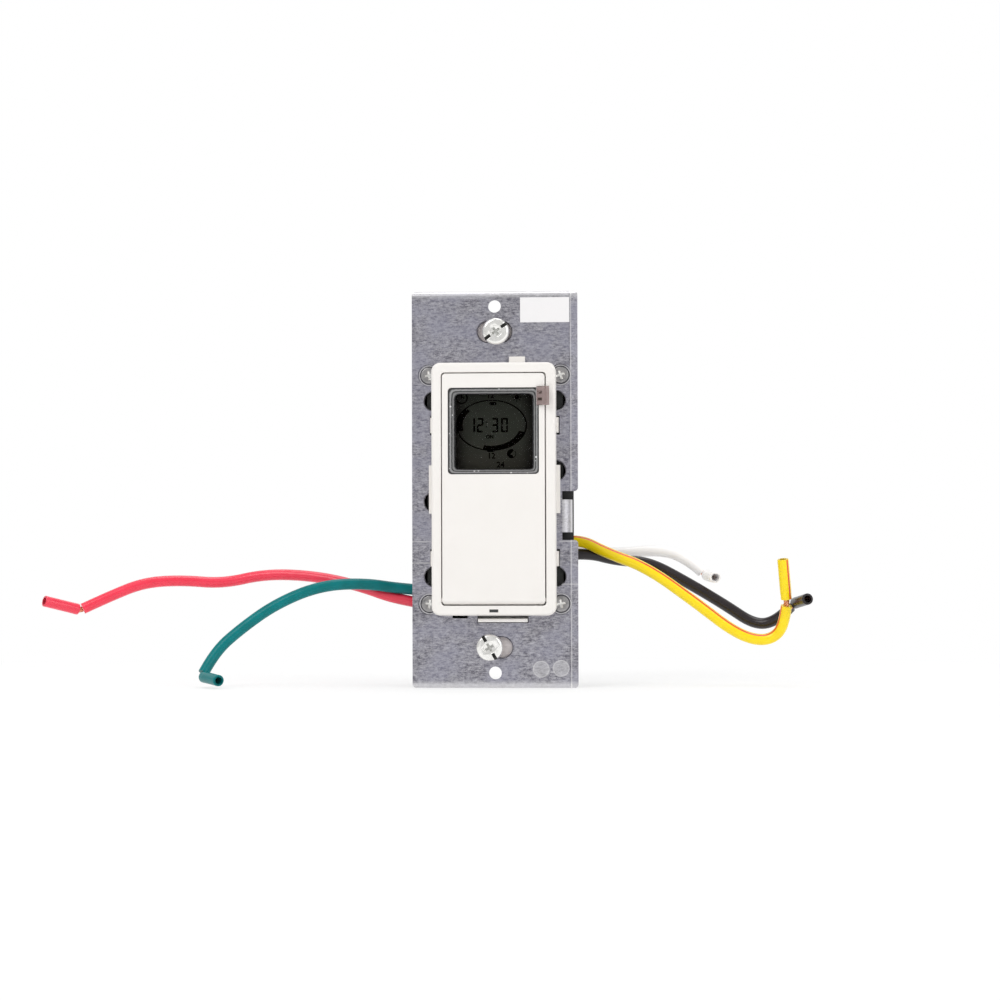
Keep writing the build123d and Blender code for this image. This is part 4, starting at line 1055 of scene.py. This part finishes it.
def makeCapScrew():
    rise = capScrew["rise"]
    head = startCylinder(capScrew["head"], 0, rise, 48)
    pickEdges(head, lambda a, b: a.z > rise / 2 and b.z > rise / 2)
    bpy.ops.mesh.bevel(offset=capScrew["round"], segments=4)
    leaveEdit()
    crossCuts(head, rise, capScrew["cross"], 0.8)
    softenEdges(head, capScrew["edge"])
    # the head is dark steel and its cross recess takes the paler zinc: a painted highlight
    finishRecess(head, rise * 0.9, capScrew["head"], ("dark_steel", "zinc_steel"))
    shankRadius, shankEnd = capScrew["shank"]
    shank = startCylinder(shankRadius, -shankEnd, headOverlap, 24)
    pickEdges(shank, lambda a, b: a.z < -rise and b.z < -rise)
    bpy.ops.mesh.bevel(offset=shankRadius / 3, segments=2)
    leaveEdit()
    screw = joined([head, shank])
    bpy.ops.object.shade_smooth_by_angle(angle=math.radians(35))
    return screw


firstScrew = makeCapScrew()
for number, (x, z, turn) in enumerate(capScrew["places"], 1):
    place = Matrix.Translation((x * mm, capScrew["base"], z * mm)) @ facing
    screw = copyOf(firstScrew, place @ Matrix.Rotation(math.radians(turn), 4, "Z"))
    name, finish = f"housing_screw_{number}", finishes["dark_steel"]
    settle(screw, name, finish, "switch_body", ["housing_screws"])
bpy.data.objects.remove(firstScrew)
print("housing screws ready")


# what the display shows: an oval dial of the day, the time and plain signs

dial = {
    "front": -4.03 * mm,
    "thickness": 0.02 * mm,
    # the rest is in millimetres, across and up
    "centre": (-0.71, 16.82),
    "half": (9.37, 6.72),
    "line": 0.042,  # of the half axes
    "bands": ((137, 194, 0.185), (255, 344, 0.2)),  # from, to, and depth of the half axes
    "blocks": ((-0.3, 22.55, 1.85, 0.85), (-0.9, 10.0, 1.9, 0.4)),
    "digitHeight": 3.85,
    "digitFoot": 14.95,
    "stroke": 0.5,
    "digits": (("1", -5.9, 1.3), ("2", -3.68, 1.25), ("3", 0.19, 1.3), ("0", 2.73, 1.35)),
    "colon": (-2.0, 16.4, 17.6),
    "colonSize": 0.4,
    "words": (
        ("ON", -1.16, 13.4, 1.25), ("12", -1.0, 24.0, 1.95), ("12", -0.75, 8.1, 2.1), ("24", 1.65, 5.75, 2.1),
    ),
    "bold": 0.045,
    "clock": (-8.56, 24.07, 1.6),
    "hands": ((0.3, 0.0, 0.9, 0.3), (0.0, 0.4, 0.3, 1.0)),
    "sun": (5.98, 24.2, 0.95),
    "rays": (8, 0.5, 0.2),  # how many, length, width
    "moon": (4.55, 9.34, 1.2),
    "moonDark": (0.86, 60, 300),  # depth of the radius, from, to
}
segments = {"0": "abcdef", "1": "bc", "2": "abged", "3": "abgcd"}


def markBlock(x, z, width, height, turn=0.0):
    block = startBlock(width * mm, height * mm, 0, dial["thickness"])
    pickEdges(block, lambda a, b: abs(a.z - b.z) > dial["thickness"] / 2)
    bpy.ops.mesh.bevel(offset=min(width, height) * 0.3 * mm, segments=1)
    leaveEdit()
    putAt(block, Matrix.Translation((x * mm, z * mm, 0)) @ Matrix.Rotation(math.radians(turn), 4, "Z"))
    return block


# a ring, or a part of one, swept from a short line
def markArc(x, z, halves, depth, first=0.0, last=360.0):
    bpy.ops.mesh.primitive_plane_add(size=1)
    band = bpy.context.object
    start = math.radians(first)
    sweep = math.radians(last - first)
    for point in band.data.vertices:
        point.co = (1 - depth if point.co.x < 0 else 1, 0, dial["thickness"] if point.co.y > 0 else 0)
    pickFaces(band, lambda centre, normal: True)
    bpy.ops.mesh.spin(steps=max(12, int(sweep * 12)), angle=-sweep, center=(0, 0, 0), axis=(0, 0, 1))
    bpy.ops.mesh.select_all(action="SELECT")
    bpy.ops.mesh.remove_doubles(threshold=1e-5)
    bpy.ops.mesh.normals_make_consistent(inside=False)
    leaveEdit()
    putAt(band, Matrix.Rotation(start, 4, "Z"))  # on its own, as an object holds no shear
    wide, tall = halves
    putAt(band, Matrix.Translation((x * mm, z * mm, 0)) @ Matrix.Diagonal((wide * mm, tall * mm, 1, 1)))
    return band


def markDisc(x, z, radius):
    disc = startCylinder(radius * mm, 0, dial["thickness"], 32)
    putAt(disc, Matrix.Translation((x * mm, z * mm, 0)))
    return disc


def markWord(text, x, z, size):
    bpy.ops.object.text_add()
    word = bpy.context.object
    word.data.body = text
    word.data.size = size * mm
    word.data.align_x = "CENTER"
    word.data.extrude = dial["thickness"] / 2
    word.data.offset = dial["bold"] * mm
    bpy.ops.object.convert(target="MESH")
    putAt(word, Matrix.Translation((x * mm, z * mm, dial["thickness"] / 2)))
    return word


def markDigit(digit, x, width):
    foot, tall, stroke = dial["digitFoot"], dial["digitHeight"], dial["stroke"]
    middle, half = foot + tall / 2, tall / 2 - stroke * 0.3
    left, right, high, low = x - width / 2, x + width / 2, middle + tall / 4, middle - tall / 4
    places = {
        "a": (x, foot + tall - stroke / 2, width, stroke), "g": (x, middle, width, stroke),
        "d": (x, foot + stroke / 2, width, stroke),
        "b": (right, high, stroke, half), "c": (right, low, stroke, half),
        "f": (left, high, stroke, half), "e": (left, low, stroke, half),
    }
    return [markBlock(*places[part]) for part in segments[digit]]


def makeDisplayMarks():
    x, z = dial["centre"]
    marks = [markArc(x, z, dial["half"], dial["line"])]
    marks += [markArc(x, z, dial["half"], depth, first, last) for first, last, depth in dial["bands"]]
    marks += [markBlock(*block) for block in dial["blocks"]]
    for digit, place, width in dial["digits"]:
        marks += markDigit(digit, place, width)
    colonX, *levels = dial["colon"]
    marks += [markBlock(colonX, level, dial["colonSize"], dial["colonSize"]) for level in levels]
    marks += [markWord(*word) for word in dial["words"]]
    clockX, clockZ, clockRadius = dial["clock"]
    marks.append(markArc(clockX, clockZ, (clockRadius, clockRadius), 0.2))
    marks += [markBlock(clockX + x, clockZ + z, width, height) for x, z, width, height in dial["hands"]]
    sunX, sunZ, sunRadius = dial["sun"]
    marks.append(markDisc(sunX, sunZ, sunRadius * 0.62))
    away = sunRadius * 1.05
    rays, length, width = dial["rays"]
    for number in range(rays):
        turn = math.tau * number / rays
        across, up = away * math.cos(turn), away * math.sin(turn)
        marks.append(markBlock(sunX + across, sunZ + up, length, width, math.degrees(turn)))
    moonX, moonZ, moonRadius = dial["moon"]
    marks.append(markArc(moonX, moonZ, (moonRadius, moonRadius), 0.12))
    marks.append(markArc(moonX, moonZ, (moonRadius, moonRadius), *dial["moonDark"]))
    place = Matrix.Translation((0, dial["front"] + dial["thickness"], 0)) @ facing
    for mark in marks:
        putAt(mark, place @ mark.matrix_world)
    return settle(joined(marks), "display_marks", finishes["display_ink"], "switch_body")


makeDisplayMarks()
print("display ready")
